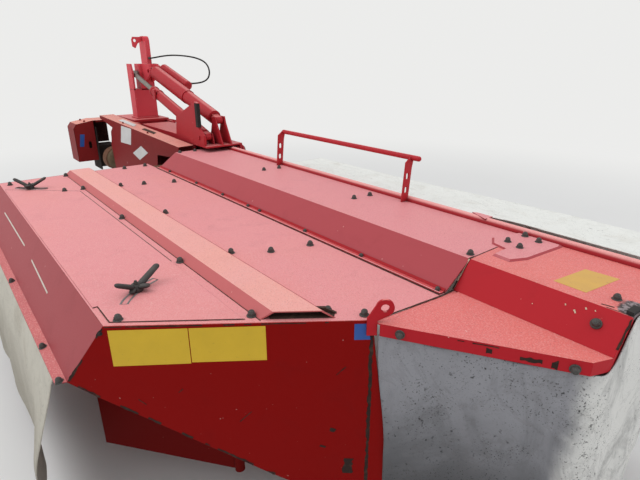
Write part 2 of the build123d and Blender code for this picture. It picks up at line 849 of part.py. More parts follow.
# Carrying arm: box beam on the pivot pin, its yoke floor, ears and float plate
yoke_low_z = 1112
yoke_floor = 12
yoke_end_x = float_pivot[0] + 40
float_plate_y = 72
float_plate = 20
joint_pin_r = 20
spring_eye_half = 26
lift_eye_half = 22
with BuildPart() as arm:
    with BuildSketch(across(0, arm_rear_y, 0)):
        with Locations(((arm_pivot[0] + arm_end_x) / 2, -arm_pivot[1])):
            Rectangle(arm_end_x - arm_pivot[0], 2 * arm_half_height)
        with Locations((arm_pivot[0], -arm_pivot[1])):
            Circle(arm_half_height)
            Circle(joint_pin_r + seat_gap, mode=Mode.SUBTRACT)
    extrude(amount=arm_front_y - arm_rear_y)
    with BuildSketch(Plane.YZ.offset(arm_end_x)):
        with Locations(((arm_rear_y + arm_front_y) / 2, arm_pivot[1])):
            Rectangle(arm_front_y - arm_rear_y - 2 * arm_wall, 2 * arm_half_height - 2 * arm_wall)
    extrude(amount=-arm_hollow, mode=Mode.SUBTRACT)
    with BuildSketch(Plane.XY.offset(yoke_low_z)):
        with Locations(((arm_end_x + yoke_end_x) / 2, (arm_rear_y + float_plate_y + float_plate) / 2)):
            Rectangle(yoke_end_x - arm_end_x, float_plate_y + float_plate - arm_rear_y)
    extrude(amount=yoke_floor)
    for ear_y in (lift_y + lift_eye_half + side_gap,):
        with BuildSketch(across(0, ear_y, 0)):
            with BuildLine():
                Polyline(
                    (lift_foot[0] - 50, -yoke_low_z),
                    (lift_foot[0] - 26, -lift_foot[1] - 26),
                    (lift_foot[0] + 26, -lift_foot[1] - 26),
                    (lift_foot[0] + 50, -yoke_low_z),
                    close=True,
                )
            make_face()
        extrude(amount=8)
    for ear_y in (spring_y - spring_eye_half - side_gap - 12, spring_y + spring_eye_half + side_gap):
        with BuildSketch(across(0, ear_y, 0)):
            with BuildLine():
                Polyline(
                    (arm_end_x + 10, -yoke_low_z),
                    (spring_foot[0] - 30, -spring_foot[1] + 20),
                    (spring_foot[0] - 30, -spring_foot[1] - 30),
                    (spring_foot[0] + 30, -spring_foot[1] - 30),
                    (spring_foot[0] + 44, -spring_foot[1] + 20),
                    (yoke_end_x, -yoke_low_z),
                    close=True,
                )
            make_face()
        extrude(amount=12)
    with BuildSketch(across(0, arm_front_y, 0)):
        with BuildLine():
            Polyline(
                (arm_end_x - 220, -arm_pivot[1] - arm_half_height + 10),
                (arm_end_x + 30, -yoke_low_z - yoke_floor),
                (arm_end_x + 30, -arm_pivot[1] + arm_half_height),
                (arm_end_x - 220, -arm_pivot[1] + arm_half_height),
                close=True,
            )
        make_face()
    extrude(amount=float_plate_y + float_plate - arm_front_y)
    with BuildSketch(across(0, float_plate_y, 0)):
        with BuildLine():
            Polyline(
                (arm_end_x, -yoke_low_z - yoke_floor),
                (yoke_end_x, -yoke_low_z - yoke_floor),
                (yoke_end_x, -float_pivot[1] + 30),
                (float_pivot[0] + 20, -float_pivot[1] + 42),
                (float_pivot[0] - 42, -float_pivot[1] + 42),
                (arm_end_x, -arm_pivot[1] + arm_half_height),
                close=True,
            )
        make_face()
        with Locations((float_pivot[0], -float_pivot[1])):
            Circle(joint_pin_r + seat_gap, mode=Mode.SUBTRACT)
    extrude(amount=float_plate)
save(arm, "carrying_arm")

with BuildPart() as arm_pin:
    with BuildSketch(across(arm_pivot[0], base_rear_y - 14, arm_pivot[1])):
        Circle(joint_pin_r)
    extrude(amount=base_front_y - base_rear_y + 28)
    with BuildSketch(across(arm_pivot[0], base_rear_y - 14, arm_pivot[1])):
        Circle(joint_pin_r + 12)
    extrude(amount=14 - seat_gap)
save(arm_pin, "arm_pivot_pin")

# Upright stop plate on the arm, beside the lift cylinder
with BuildPart() as stop_plate:
    with BuildSketch(across(0, arm_rear_y, 0)):
        with BuildLine():
            Polyline(
                (1045, -arm_pivot[1] - arm_half_height),
                (1070, -1303),
                (1440, -1446),
                (1486, -1440),
                (1480, -1250),
                (1560, -1200),
                (1560, -yoke_low_z - yoke_floor),
                (arm_end_x + 1, -yoke_low_z - yoke_floor),
                (arm_end_x + 1, -arm_pivot[1] - arm_half_height),
                close=True,
            )
        make_face()
        with Locations((lift_foot[0], -lift_foot[1])):
            Circle(pin_r + seat_gap, mode=Mode.SUBTRACT)
    extrude(amount=20)
save(stop_plate, "stop_plate")

# Lift cylinder: barrel with its foot eye and pin, rod with its open eye
lift_length, _ = along(lift_foot, lift_top)
with BuildPart() as lift_barrel:
    with BuildSketch(link_plane(lift_foot, lift_top, lift_y, 46)):
        Circle(lift_barrel_r)
    extrude(amount=lift_barrel_length - 46)
    with BuildSketch(link_plane(lift_foot, lift_top, lift_y, 90)):
        Circle(lift_rod_r + run_gap)
    extrude(amount=lift_barrel_length - 90, mode=Mode.SUBTRACT)
    with BuildSketch(link_plane(lift_foot, lift_top, lift_y)):
        Rectangle(2 * lift_eye_half, 56)
    extrude(amount=50)
    with BuildSketch(across(lift_foot[0], lift_y - lift_eye_half, lift_foot[1])):
        Circle(28)
    extrude(amount=2 * lift_eye_half)
    with BuildSketch(across(lift_foot[0], arm_rear_y - 8, lift_foot[1])):
        Circle(pin_r)
    extrude(amount=lift_y - arm_rear_y)
save(lift_barrel, "lift_barrel")

with BuildPart() as lift_rod:
    with BuildSketch(link_plane(lift_top, lift_foot, lift_y, 20)):
        Circle(lift_rod_r)
    extrude(amount=lift_length - lift_barrel_length + 130)
    with BuildSketch(across(lift_top[0], lift_y - lift_eye_half, lift_top[1])):
        Circle(32)
        Circle(pin_r, mode=Mode.SUBTRACT)
    extrude(amount=2 * lift_eye_half)
save(lift_rod, "lift_rod")

# Balancing spring: outer tube pinned at the post, inner tube with its open eye
spring_length, _ = along(spring_top, spring_foot)
with BuildPart() as spring_tube:
    with BuildSketch(link_plane(spring_top, spring_foot, spring_y, 74)):
        Circle(spring_tube_r)
    extrude(amount=spring_tube_length - 74)
    with BuildSketch(link_plane(spring_top, spring_foot, spring_y, 110)):
        Circle(spring_inner_r + run_gap)
    extrude(amount=spring_tube_length - 110, mode=Mode.SUBTRACT)
    with BuildSketch(link_plane(spring_top, spring_foot, spring_y)):
        Rectangle(2 * spring_eye_half, 60)
    extrude(amount=80)
    with BuildSketch(across(spring_top[0], spring_y - spring_eye_half, spring_top[1])):
        Circle(32)
    extrude(amount=2 * spring_eye_half)
    pin_side = spring_eye_half + side_gap + ear_thick + 10
    with BuildSketch(across(spring_top[0], spring_y - pin_side, spring_top[1])):
        Circle(pin_r)
    extrude(amount=2 * pin_side)
save(spring_tube, "spring_tube")

with BuildPart() as spring_inner:
    with BuildSketch(link_plane(spring_foot, spring_top, spring_y, 66)):
        Circle(spring_inner_r)
    extrude(amount=spring_length - spring_tube_length - 66 + 70)
    with BuildSketch(link_plane(spring_foot, spring_top, spring_y)):
        Rectangle(2 * spring_eye_half, 50)
    extrude(amount=70)
    with BuildSketch(across(spring_foot[0], spring_y - spring_eye_half, spring_foot[1])):
        Circle(28)
    extrude(amount=2 * spring_eye_half)
save(spring_inner, "spring_inner_tube")

# Pressure store of the lift circuit, clamped to the mast
with BuildPart() as pressure_store:
    with BuildSketch(link_plane(store_top, store_foot, store_y)):
        Circle(store_r)
    extrude(amount=store_length)
    store_face = pressure_store.faces().sort_by(Axis.X)[-1]
    fillet(store_face.edges(), 20)
    with BuildSketch(across(0, base_front_y - seat_gap, 0)):
        with BuildLine():
            Polyline((mast_high_x - 60, -1700), (mast_high_x, -1700), (210, -1650), (200, -1610), (mast_high_x - 60, -1560), close=True)
        make_face()
    extrude(amount=store_y - base_front_y + seat_gap)
save(pressure_store, "pressure_store")

# Drive shaft: inner half with the friction clutch, outer half sliding in it
shaft_dx = shaft_end[0] - shaft_start[0]
shaft_dy = shaft_end[1] - shaft_start[1]
shaft_length = math.hypot(shaft_dx, shaft_dy)
shaft_way = (shaft_dx / shaft_length, shaft_dy / shaft_length, 0)


def shaft_plane(distance):
    """Plane across the drive shaft, at one distance from its inner joint."""
    x = shaft_start[0] + shaft_way[0] * distance
    y = shaft_start[1] + shaft_way[1] * distance
    return Plane(origin=(x, y, shaft_z), x_dir=(-shaft_way[1], shaft_way[0], 0), z_dir=shaft_way)


clutch_start = joint_r + side_gap
inner_half_end = 700
with BuildPart() as shaft_inner:
    with BuildSketch(shaft_plane(clutch_start)):
        Circle(46)
    extrude(amount=26)
    with BuildSketch(shaft_plane(clutch_start + 20)):
        Circle(clutch_r)
    extrude(amount=clutch_length)
    fillet(shaft_inner.edges().filter_by(GeomType.CIRCLE).sort_by(SortBy.RADIUS)[-2:], 14)
    with BuildSketch(shaft_plane(clutch_start + 20 + clutch_length)):
        Circle(shaft_tube_r)
    extrude(amount=inner_half_end - clutch_start - 20 - clutch_length)
    with BuildSketch(shaft_plane(clutch_start + 60 + clutch_length)):
        Circle(shaft_inner_r + run_gap)
    extrude(amount=inner_half_end, mode=Mode.SUBTRACT)
save(shaft_inner, "drive_shaft_inner")

with BuildPart() as shaft_outer:
    with BuildSketch(shaft_plane(inner_half_end - 90)):
        Circle(shaft_inner_r)
    extrude(amount=shaft_length - inner_half_end + 90)
save(shaft_outer, "drive_shaft_outer")

# Sheet cover over the drive shaft, its outer end cut out in a curve
cover_dx = cover_end[0] - cover_start[0]
cover_dy = cover_end[1] - cover_start[1]
cover_length = math.hypot(cover_dx, cover_dy)
cover_plane = Plane(
    origin=(cover_start[0], cover_start[1], 0),
    x_dir=(cover_dx / cover_length, cover_dy / cover_length, 0),
    z_dir=(cover_dy / cover_length, -cover_dx / cover_length, 0),
)
cover_high_z = 1240
cover_low_z = 1110
cover_side = [
    (0, cover_high_z),
    (cover_length, cover_low_z),
    (cover_length, cover_low_z - 90),
    (1060, 1004),
    (1000, 740),
    (200, 740),
    (165, 1000),
    (110, 1130),
    (0, 1195),
]
with BuildPart() as drive_cover:
    for depth in (-sheet, -cover_width):
        with BuildSketch(cover_plane.offset(depth)):
            with BuildLine():
                Polyline(*cover_side, close=True)
            make_face()
        extrude(amount=sheet)
    with BuildSketch(cover_plane.offset(-cover_width)):
        with BuildLine():
            Polyline(
                (0, cover_high_z),
                (cover_length, cover_low_z),
                (cover_length, cover_low_z - sheet),
                (0, cover_high_z - sheet),
                close=True,
            )
        make_face()
    extrude(amount=cover_width)
    with BuildSketch(across(0, arm_rear_y - 92, 0)):
        with Locations((700, -1072)):
            Rectangle(60, 50)
    extrude(amount=92)
save(drive_cover, "drive_cover")

# Lugs on the mower's frame beam that hang on the arm's float plate
lug_y = beam_y + beam_size / 2
lug_gap = side_gap
rear_ear_y = float_plate_y - lug_gap - 14
front_ear_y = float_plate_y + float_plate + lug_gap
with BuildPart() as carry_lug:
    with BuildSketch(across(0, lug_y, 0)):
        with Locations((float_pivot[0], -(beam_low_z + 55))):
            Rectangle(130, 100)
    extrude(amount=front_ear_y + 14 - lug_y)
    for ear_y in (rear_ear_y, front_ear_y):
        with BuildSketch(across(0, ear_y, 0)):
            with Locations((float_pivot[0], -(beam_low_z + float_pivot[1]) / 2)):
                Rectangle(90, float_pivot[1] - beam_low_z - 10)
            with Locations((float_pivot[0], -float_pivot[1])):
                Circle(45)
                Circle(joint_pin_r + seat_gap, mode=Mode.SUBTRACT)
        extrude(amount=14)
save(carry_lug, "carry_lug")

with BuildPart() as float_pin:
    with BuildSketch(across(float_pivot[0], rear_ear_y, float_pivot[1])):
        Circle(joint_pin_r)
    extrude(amount=front_ear_y + 14 - rear_ear_y + 16)
    with BuildSketch(across(float_pivot[0], front_ear_y + 14 + seat_gap, float_pivot[1])):
        Circle(joint_pin_r + 12)
    extrude(amount=14)
save(float_pin, "float_pin")

# Guard bar over the front hood, on two flat brackets with oval holes
bracket_thick = 8
with BuildPart() as guard_bar:
    with BuildSketch(upright(bar_inner_x, 12, bar_z)):
        Circle(guard_tube_r)
    extrude(amount=bar_outer_x - bar_inner_x)
    for bracket_at in (bar_inner_x + 10, bar_outer_x - 80):
        with BuildSketch(upright(bracket_at)):
            with BuildLine():
                Polyline((-40, ridge_z + seat_gap), (-8, bar_z), (32, bar_z), (20, ridge_z + seat_gap), close=True)
            make_face()
            with Locations((0, ridge_z + 60), (6, ridge_z + 130)):
                SlotOverall(34, 20, rotation=90, mode=Mode.SUBTRACT)
        extrude(amount=bracket_thick)
save(guard_bar, "guard_bar")

# Front guard: hinge lugs on the front tube, a tube frame and its canvas
hinge_count = 3
hinge_first_x = guard_inner_x + 110
hinge_pitch = (guard_outer_x - 80 - hinge_first_x) / (hinge_count - 1)
hinge_pin_r = 8
with BuildPart() as guard_hinges:
    for number in range(hinge_count):
        hinge_x = hinge_first_x + number * hinge_pitch
        for lug_x in (hinge_x - 28, hinge_x + 20):
            with BuildSketch(upright(lug_x)):
                with BuildLine():
                    Polyline(
                        (front_y + 2 * tube_r + 2 * seat_gap, guard_hinge_z + 14),
                        (guard_hinge_y, guard_hinge_z + 14),
                        (guard_hinge_y + 14, guard_hinge_z),
                        (guard_hinge_y, guard_hinge_z - 14),
                        (front_y + 2 * tube_r + 2 * seat_gap, guard_hinge_z - 14),
                        close=True,
                    )
                make_face()
            extrude(amount=8)
        with BuildSketch(upright(hinge_x - 28, guard_hinge_y, guard_hinge_z)):
            Circle(hinge_pin_r)
        extrude(amount=56)
save(guard_hinges, "guard_hinges")

with BuildPart() as guard_frame:
    for number in range(hinge_count):
        hinge_x = hinge_first_x + number * hinge_pitch
        with BuildSketch(upright(hinge_x - 14)):
            with Locations((guard_hinge_y, guard_hinge_z)):
                Circle(14)
            with BuildLine():
                Polyline(
                    (guard_hinge_y, guard_hinge_z + 4),
                    (guard_front_y - guard_tube_r - seat_gap, guard_front_z + 8),
                    (guard_front_y - guard_tube_r - seat_gap, guard_front_z - 12),
                    (guard_hinge_y, guard_hinge_z - 14),
                    close=True,
                )
            make_face()
            with Locations((guard_hinge_y, guard_hinge_z)):
                Circle(hinge_pin_r + seat_gap, mode=Mode.SUBTRACT)
        extrude(amount=28)
    with BuildSketch(upright(guard_inner_x + 10, guard_front_y - guard_tube_r - seat_gap, guard_front_z)):
        Circle(guard_tube_r)
        Circle(guard_tube_r - 3, mode=Mode.SUBTRACT)
    extrude(amount=guard_outer_x - guard_inner_x - 20)
save(guard_frame, "front_guard_frame")

canvas_thick = 4
canvas_plane = upright(guard_inner_x)
canvas_low_z = 180
canvas_points = [
    (guard_hinge_y + 14, guard_hinge_z + 14 + seat_gap),
    (guard_hinge_y + 14, guard_hinge_z + 14 + seat_gap + canvas_thick),
    (guard_front_y + canvas_thick, guard_front_z + guard_tube_r + seat_gap + canvas_thick),
    (guard_front_y + canvas_thick, canvas_low_z),
    (guard_front_y, canvas_low_z),
    (guard_front_y, guard_front_z + guard_tube_r + seat_gap),
]
front_canvas = outline_plate(canvas_points, canvas_plane, guard_outer_x - guard_inner_x)
save(front_canvas, "front_canvas")

# Side canvas under the wing's ledge and round the outer corner
side_low_z = 110
side_line = [
    (ledge_outline[0][0] + 76, ledge_outline[0][1] + 51),
    (ledge_outline[3][0] - 5, ledge_outline[3][1] + 5),
    (wing_outer_x - sheet - 2, wing_foot_y - 4),
    (wing_outer_x - sheet - 2, front_y - 10),
]
side_canvas = outline_plate(
    ribbon(side_line, canvas_thick),
    Plane.XY.offset(side_low_z),
    deck_z - ledge_depth - seat_gap - side_low_z,
)
save(side_canvas, "side_canvas")

# Rear canvas hung under the rear panel's flange
rear_canvas_plane = upright(hood_inner_x + 70)
hang_y = rear_low_y - rear_flange
hang_z = rear_low_z - 8 - sheet - seat_gap
rear_canvas_points = [
    (hang_y + 26, hang_z),
    (hang_y, hang_z),
    (hang_y - 60, hang_z - 260),
    (hang_y - 70, 170),
    (hang_y - 66, 170),
    (hang_y - 56, hang_z - 260),
    (hang_y + 4, hang_z - 4),
    (hang_y + 26, hang_z - 4),
]
rear_canvas = outline_plate(rear_canvas_points, rear_canvas_plane, 2080)
save(rear_canvas, "rear_canvas")

# Swath doors: board, pivot tube and clamping stud, each with its four-armed handle
board_low_z = 215
board_outline = [
    (10, 930),
    (door_radius + 30, 930),
    (480, 770),
    (610, 690),
    (610, 225),
    (10, board_low_z),
]
for door_name, pivot_x, pivot_y, rest_angle in doors:
    turn = math.radians(rest_angle)
    door_plane = Plane(
        origin=(pivot_x, pivot_y, 0),
        x_dir=(math.cos(turn), math.sin(turn), 0),
        z_dir=(math.sin(turn), -math.cos(turn), 0),
    )
    handle_x = pivot_x + door_radius * math.cos(turn)
    handle_y = pivot_y + door_radius * math.sin(turn)
    with BuildPart() as door:
        with BuildSketch(door_plane.offset(-door_thick / 2)):
            with BuildLine():
                Polyline(*board_outline, close=True)
            make_face()
        extrude(amount=door_thick)
        with BuildSketch(Plane.XY.offset(board_low_z)):
            with Locations((pivot_x, pivot_y)):
                Circle(20)
        extrude(amount=deck_z - sheet - seat_gap - board_low_z)
        with BuildSketch(Plane.XY.offset(910)):
            with Locations((handle_x, handle_y)):
                Circle(20)
        extrude(amount=20)
        with BuildSketch(Plane.XY.offset(910)):
            with Locations((handle_x, handle_y)):
                Circle(stud_r)
        extrude(amount=deck_z + 24 - 910)
    save(door, f"swath_door_{door_name}")
    with BuildPart() as handle:
        handle_plane = Plane(
            origin=(handle_x, handle_y, deck_z + 1),
            x_dir=(math.cos(turn + 0.6), math.sin(turn + 0.6), 0),
            z_dir=(0, 0, 1),
        )
        with BuildSketch(handle_plane):
            Circle(24)
        extrude(amount=12)
        with BuildSketch(handle_plane.offset(10)):
            SlotOverall(172, 20)
            SlotOverall(172, 20, rotation=55)
            Circle(20)
        extrude(amount=20)
        with BuildSketch(handle_plane):
            Circle(stud_r + seat_gap)
        extrude(amount=24, mode=Mode.SUBTRACT)
    save(handle, f"door_handle_{door_name}")

# Lifting eye on the end plate's front end, its ring leaning over the front edge
eye_at = 895
eye_z = 1029
eye_r = 30
eye_hole_r = 14
eye_thick = 10
with BuildPart() as lifting_eye:
    with BuildSketch(end_plane.offset(sheet)):
        with BuildLine():
            Polyline(
                (end_length - 26, 930),
                (end_length + 8, 930),
                (end_length + 8, deck_z + 4),
                (eye_at + 14, eye_z - eye_r + 4),
                (eye_at - 22, eye_z + 20),
                (end_length - 26, deck_z + 10),
                close=True,
            )
        make_face()
        with Locations((eye_at, eye_z)):
            Circle(eye_r)
            Circle(eye_hole_r, mode=Mode.SUBTRACT)
    extrude(amount=eye_thick)
save(lifting_eye, "lifting_eye")
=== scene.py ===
from math import cos, dist, exp, pi, radians, sin, tau

import bmesh
import bpy
from mathutils import Matrix, Vector, noise


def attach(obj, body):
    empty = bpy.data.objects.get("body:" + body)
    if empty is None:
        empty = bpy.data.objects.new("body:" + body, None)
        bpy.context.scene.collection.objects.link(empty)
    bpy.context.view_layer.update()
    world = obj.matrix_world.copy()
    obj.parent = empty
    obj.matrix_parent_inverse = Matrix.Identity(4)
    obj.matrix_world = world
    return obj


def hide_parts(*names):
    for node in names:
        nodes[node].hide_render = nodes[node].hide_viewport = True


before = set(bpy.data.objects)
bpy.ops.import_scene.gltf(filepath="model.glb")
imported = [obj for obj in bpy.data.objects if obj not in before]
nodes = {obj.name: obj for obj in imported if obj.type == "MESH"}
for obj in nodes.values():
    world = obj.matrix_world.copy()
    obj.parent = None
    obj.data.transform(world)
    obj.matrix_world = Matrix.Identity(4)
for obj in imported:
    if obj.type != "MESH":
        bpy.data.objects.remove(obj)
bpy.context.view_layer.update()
Z = Vector((0, 0, 1))


# Camera, floor and light

def add_object(name, data):
    """A new object in the scene."""
    made = bpy.data.objects.new(name, data)
    bpy.context.scene.collection.objects.link(made)
    return made


camera_data = bpy.data.cameras.new("camera")
camera_data.lens, camera_data.sensor_width, camera_data.clip_end = 27, 36, 200
camera = add_object("camera", camera_data)
camera.location = (5.0, -1.85, 1.78)
azimuth, elevation = 141.1, -21.08
camera.rotation_euler = (radians(90 + elevation), 0, radians(azimuth - 90))
bpy.context.scene.camera = camera
bpy.context.scene.view_settings.view_transform = "Standard"
studio_grey = (0.84, 0.84, 0.83, 1)


class Graph:
    """The nodes of a material, or of the world, made with one call a node."""

    def __init__(self, name, owner=None, shader="Principled BSDF"):
        self.owner = owner or bpy.data.materials.new(name)
        self.owner.use_nodes = True
        self.tree = self.owner.node_tree
        self.shader = self.tree.nodes[shader]
        self.place = 0

    def put(self, socket, value):
        if isinstance(value, bpy.types.NodeSocket):
            self.tree.links.new(value, socket)
        elif value is not None:
            socket.default_value = value

    def node(self, kind, output=0, settings=(), **values):
        made = self.tree.nodes.new("ShaderNode" + kind)
        self.place += 1
        made.location = (-220 * (self.place % 8) - 300, 200 * (self.place // 8))
        for key, value in dict(settings).items():
            setattr(made, key, value)
        for key, value in values.items():
            name = key.replace("_", " ")
            self.put(made.inputs[name if name in made.inputs else int(key[1:])], value)
        return made.outputs[output]

    def coords(self, scale=(1, 1, 1)):
        place = self.node("TexCoord", "Object")
        return self.node("Mapping", Vector=place, Scale=scale)

    def noise(self, scale, detail, roughness=0.55, vector=None, distortion=0):
        return self.node("TexNoise", Vector=vector or self.coords(), Scale=scale,
                         Detail=detail, Roughness=roughness, Distortion=distortion)

    def math(self, operation, a, b, clamp=False):
        return self.node("Math", settings={"operation": operation, "use_clamp": clamp}, _0=a, _1=b)

    def times(self, a, b, clamp=False):
        return self.math("MULTIPLY", a, b, clamp)

    def plus(self, a, b, clamp=False):
        return self.math("ADD", a, b, clamp)

    def flip(self, share):
        return self.math("SUBTRACT", 1.0, share)

    def sway(self, value, amount):
        """A noise made to swing about 0, by an amount."""
        return self.times(self.math("SUBTRACT", value, 0.5), amount)

    def distance(self, point):
        """How far the surface is from a point."""
        offset = self.node("VectorMath", settings={"operation": "SUBTRACT"},
                           _0=self.node("TexCoord", "Object"), _1=point)
        return self.node("VectorMath", "Value", {"operation": "LENGTH"}, _0=offset)

    def step(self, value, low, high):
        """0 under low, 1 over high, smooth between."""
        return self.node("MapRange", settings={"interpolation_type": "SMOOTHSTEP"},
                         Value=value, From_Min=low, From_Max=high)

    def mix(self, share, a, b):
        """Colour b over colour a: each is a socket, three display values or four linear ones."""
        made = self.tree.nodes.new("ShaderNodeMix")
        made.data_type = "RGBA"
        for number, value in ((0, share), (6, a), (7, b)):
            shown = isinstance(value, tuple) and len(value) == 3
            self.put(made.inputs[number], srgb(*value) if shown else value)
        return made.outputs[2]

    def up(self):
        """How far a face looks up at rest, from -1 to 1."""
        normal = self.node("TexCoord", "Normal")
        return self.node("SeparateXYZ", "Z", Vector=normal)

    def height(self, axis="Z"):
        return self.node("SeparateXYZ", axis, Vector=self.node("TexCoord", "Object"))

    def bump(self, height, strength, distance, normal=None):
        return self.node("Bump", Height=height, Strength=strength, Distance=distance, Normal=normal)

    def show(self, output, share, a, b):
        """Sends one of two shaders, by a share, to the output."""
        mixed = self.node("MixShader", _0=share, _1=a, _2=b)
        self.put(self.tree.nodes[output].inputs["Surface"], mixed)

    def finish(self, color, roughness, normal=None, metallic=0.0):
        self.put(self.shader.inputs["Base Color"], color)
        self.put(self.shader.inputs["Roughness"], roughness)
        self.put(self.shader.inputs["Normal"], normal)
        self.shader.inputs["Metallic"].default_value = metallic
        return self.owner


def srgb(red, green, blue):
    """Linear colour of an 8-bit display colour."""
    def linear(value):
        value /= 255
        return value / 12.92 if value <= 0.04045 else ((value + 0.055) / 1.055) ** 2.4
    return (linear(red), linear(green), linear(blue), 1)


def area_light(name, place, target, size, power):
    data = bpy.data.lights.new(name, "AREA")
    data.shape, data.size, data.energy = "SQUARE", size, power
    lamp = add_object(name, data)
    lamp.location = place
    lamp.rotation_euler = (Vector(target) - Vector(place)).to_track_quat("-Z", "Y").to_euler()


area_light("key", (0.2, -5.0, 7.0), (2.6, -0.6, 0.8), 6, 210)
area_light("side", (8.5, 2.5, 4.0), (3.0, -0.6, 0.6), 5, 70)

# The surrounding light grows overhead, and is plain grey where it is seen or reflected
studio = Graph("studio", bpy.data.worlds.new("studio"), "Background")
bpy.context.scene.world = studio.owner
overhead = studio.node("SeparateXYZ", "Z", Vector=studio.node("TexCoord", "Generated"))
studio.put(studio.shader.inputs["Color"], (0.95, 0.97, 1, 1))
studio.put(studio.shader.inputs["Strength"], studio.node("MapRange", Value=overhead, To_Min=0.4, To_Max=0.92))
seen = studio.node("Background", Color=studio_grey)
direct = studio.node("LightPath", "Is Camera Ray")
for ray in ("Is Glossy Ray", "Is Transmission Ray"):
    direct = studio.math("MAXIMUM", direct, studio.node("LightPath", ray))
studio.show("World Output", direct, studio.shader.outputs[0], seen)

floor_half = 40
floor_mesh = bpy.data.meshes.new("floor")
floor_corners = [(x * floor_half, y * floor_half, 0) for x, y in ((-1, -1), (1, -1), (1, 1), (-1, 1))]
floor_mesh.from_pydata(floor_corners, [], [(0, 1, 2, 3)])
floor = add_object("floor", floor_mesh)
pale = Graph("floor")
pale.finish(pale.mix(pale.noise(0.8, 3), (230, 229, 226), (236, 235, 233)), 0.95)
pale.shader.inputs["Specular IOR Level"].default_value = 0.1
away = pale.distance((2.4, -0.6, 0))
far = pale.times(pale.step(away, 3.2, 9.0), pale.node("LightPath", "Is Camera Ray"))
pale.show("Material Output", far, pale.shader.outputs[0], pale.node("Emission", Color=studio_grey))
floor_mesh.materials.append(pale.owner)


# Materials

def paint(name, top, side, dust, chips, grime, rust, rough, warm, sheen, worn_at=None, fade=(0.88, 0.985)):
    """Sun-bleached red paint: chalky where it looks up by fade's range, deeper where it is upright."""
    g = Graph(name)
    up = g.up()
    broad = g.noise(1.9, 5, 0.6)
    patch = g.noise(7, 6, 0.62, distortion=0.6)
    fine = g.noise(190, 3, 0.6)
    speck = g.noise(330, 2, 0.5)
    faded = g.step(g.plus(up, g.sway(broad, 0.06)), *fade)
    color = g.mix(faded, side, top)
    orange = tuple(part * share for part, share in zip(srgb(*top), (1.03, 1.02, 0.8, 1)))
    color = g.mix(g.times(g.times(g.step(broad, 0.42, 0.68), faded), warm), color, orange)
    deeper = g.mix(0.55, color, (104, 22, 24))
    color = g.mix(g.times(g.step(patch, 0.5, 0.76), grime), color, deeper)
    dusty = g.times(g.times(g.step(fine, 0.47, 0.66), faded), dust)
    color = g.mix(dusty, color, (248, 208, 202))
    grain = g.times(g.step(speck, 0.58, 0.7), g.plus(g.times(faded, 0.4), 0.05))
    color = g.mix(grain, color, (150, 66, 64))
    spots = g.noise(62, 2, 0.4)
    spot = g.times(g.step(spots, 0.765, 0.79), chips, True)
    color = g.mix(spot, color, (240, 206, 196))
    rounded = g.node("Bevel", settings={"samples": 6}, Radius=0.003)
    square = g.node("NewGeometry", "Normal")
    turn = g.node("VectorMath", "Value", {"operation": "DOT_PRODUCT"}, _0=rounded, _1=square)
    edge = g.step(g.flip(turn), 0.004, 0.08)
    worn = g.times(edge, g.step(g.noise(26, 5, 0.7), 0.5, 0.62))
    color = g.mix(g.times(worn, rust, True), color, (74, 38, 30))
    if worn_at:
        ragged = g.plus(g.distance(worn_at), g.sway(g.noise(22, 3, 0.5), 0.09))
        bare = g.mix(g.step(g.noise(60, 4, 0.6), 0.42, 0.58), (56, 46, 46), (150, 134, 136))
        color = g.mix(g.flip(g.step(ragged, 0.052, 0.066)), color, bare)
    scratch = g.noise(8, 8, 0.75, vector=g.coords((1, 1, 7)), distortion=1.5)
    mark = g.times(g.step(scratch, 0.72, 0.74), rust, True)
    color = g.mix(mark, color, (56, 30, 26))
    # Painted shade: darker in crevices, by ambient occlusion
    shade = g.node("AmbientOcclusion", "AO", {"samples": 5}, Distance=0.05)
    color = g.mix(g.times(g.flip(g.step(shade, 0.15, 0.8)), 0.6), color, (48, 20, 18))
    relief = g.plus(g.times(fine, 0.5), g.times(patch, 1.5))
    normal = g.bump(relief, 0.16, 0.002, rounded)
    level = g.plus(g.times(faded, 0.3), sheen - 0.1)
    g.put(g.shader.inputs["Specular IOR Level"], level)
    roughness = g.plus(g.times(faded, 0.12), g.plus(rough - 0.1, g.times(fine, 0.2)))
    return g.finish(color, roughness, normal)


def metal(name, dark, light, dirt, share, roughness=0.45, metallic=0.8, scale=60):
    """Bare or plated metal with blotches of rust or dirt."""
    g = Graph(name)
    fine = g.noise(scale, 5, 0.65)
    blotch = g.noise(scale * 0.28, 4, 0.6)
    color = g.mix(fine, dark, light)
    color = g.mix(g.times(g.step(blotch, 0.62 - 0.3 * share, 0.75), share, True), color, dirt)
    rough = g.plus(roughness, g.times(blotch, 0.3), True)
    rounded = g.node("Bevel", settings={"samples": 4}, Radius=0.001)
    return g.finish(color, rough, g.bump(fine, 0.2, 0.001, rounded), metallic)


def soft_dark(name, dark, light, dirt, share, roughness, scale=90):
    """Rubber or moulded plastic with dust in its low places."""
    g = Graph(name)
    fine = g.noise(scale, 4, 0.6)
    blotch = g.noise(scale * 0.15, 4, 0.6)
    color = g.mix(fine, dark, light)
    dusty = g.plus(g.step(blotch, 0.45, 0.8), g.times(g.step(g.up(), 0.4, 1), 0.5))
    color = g.mix(g.times(dusty, share, True), color, dirt)
    rounded = g.node("Bevel", settings={"samples": 4}, Radius=0.0015)
    return g.finish(color, g.plus(roughness, g.times(fine, 0.2)), g.bump(fine, 0.15, 0.001, rounded))


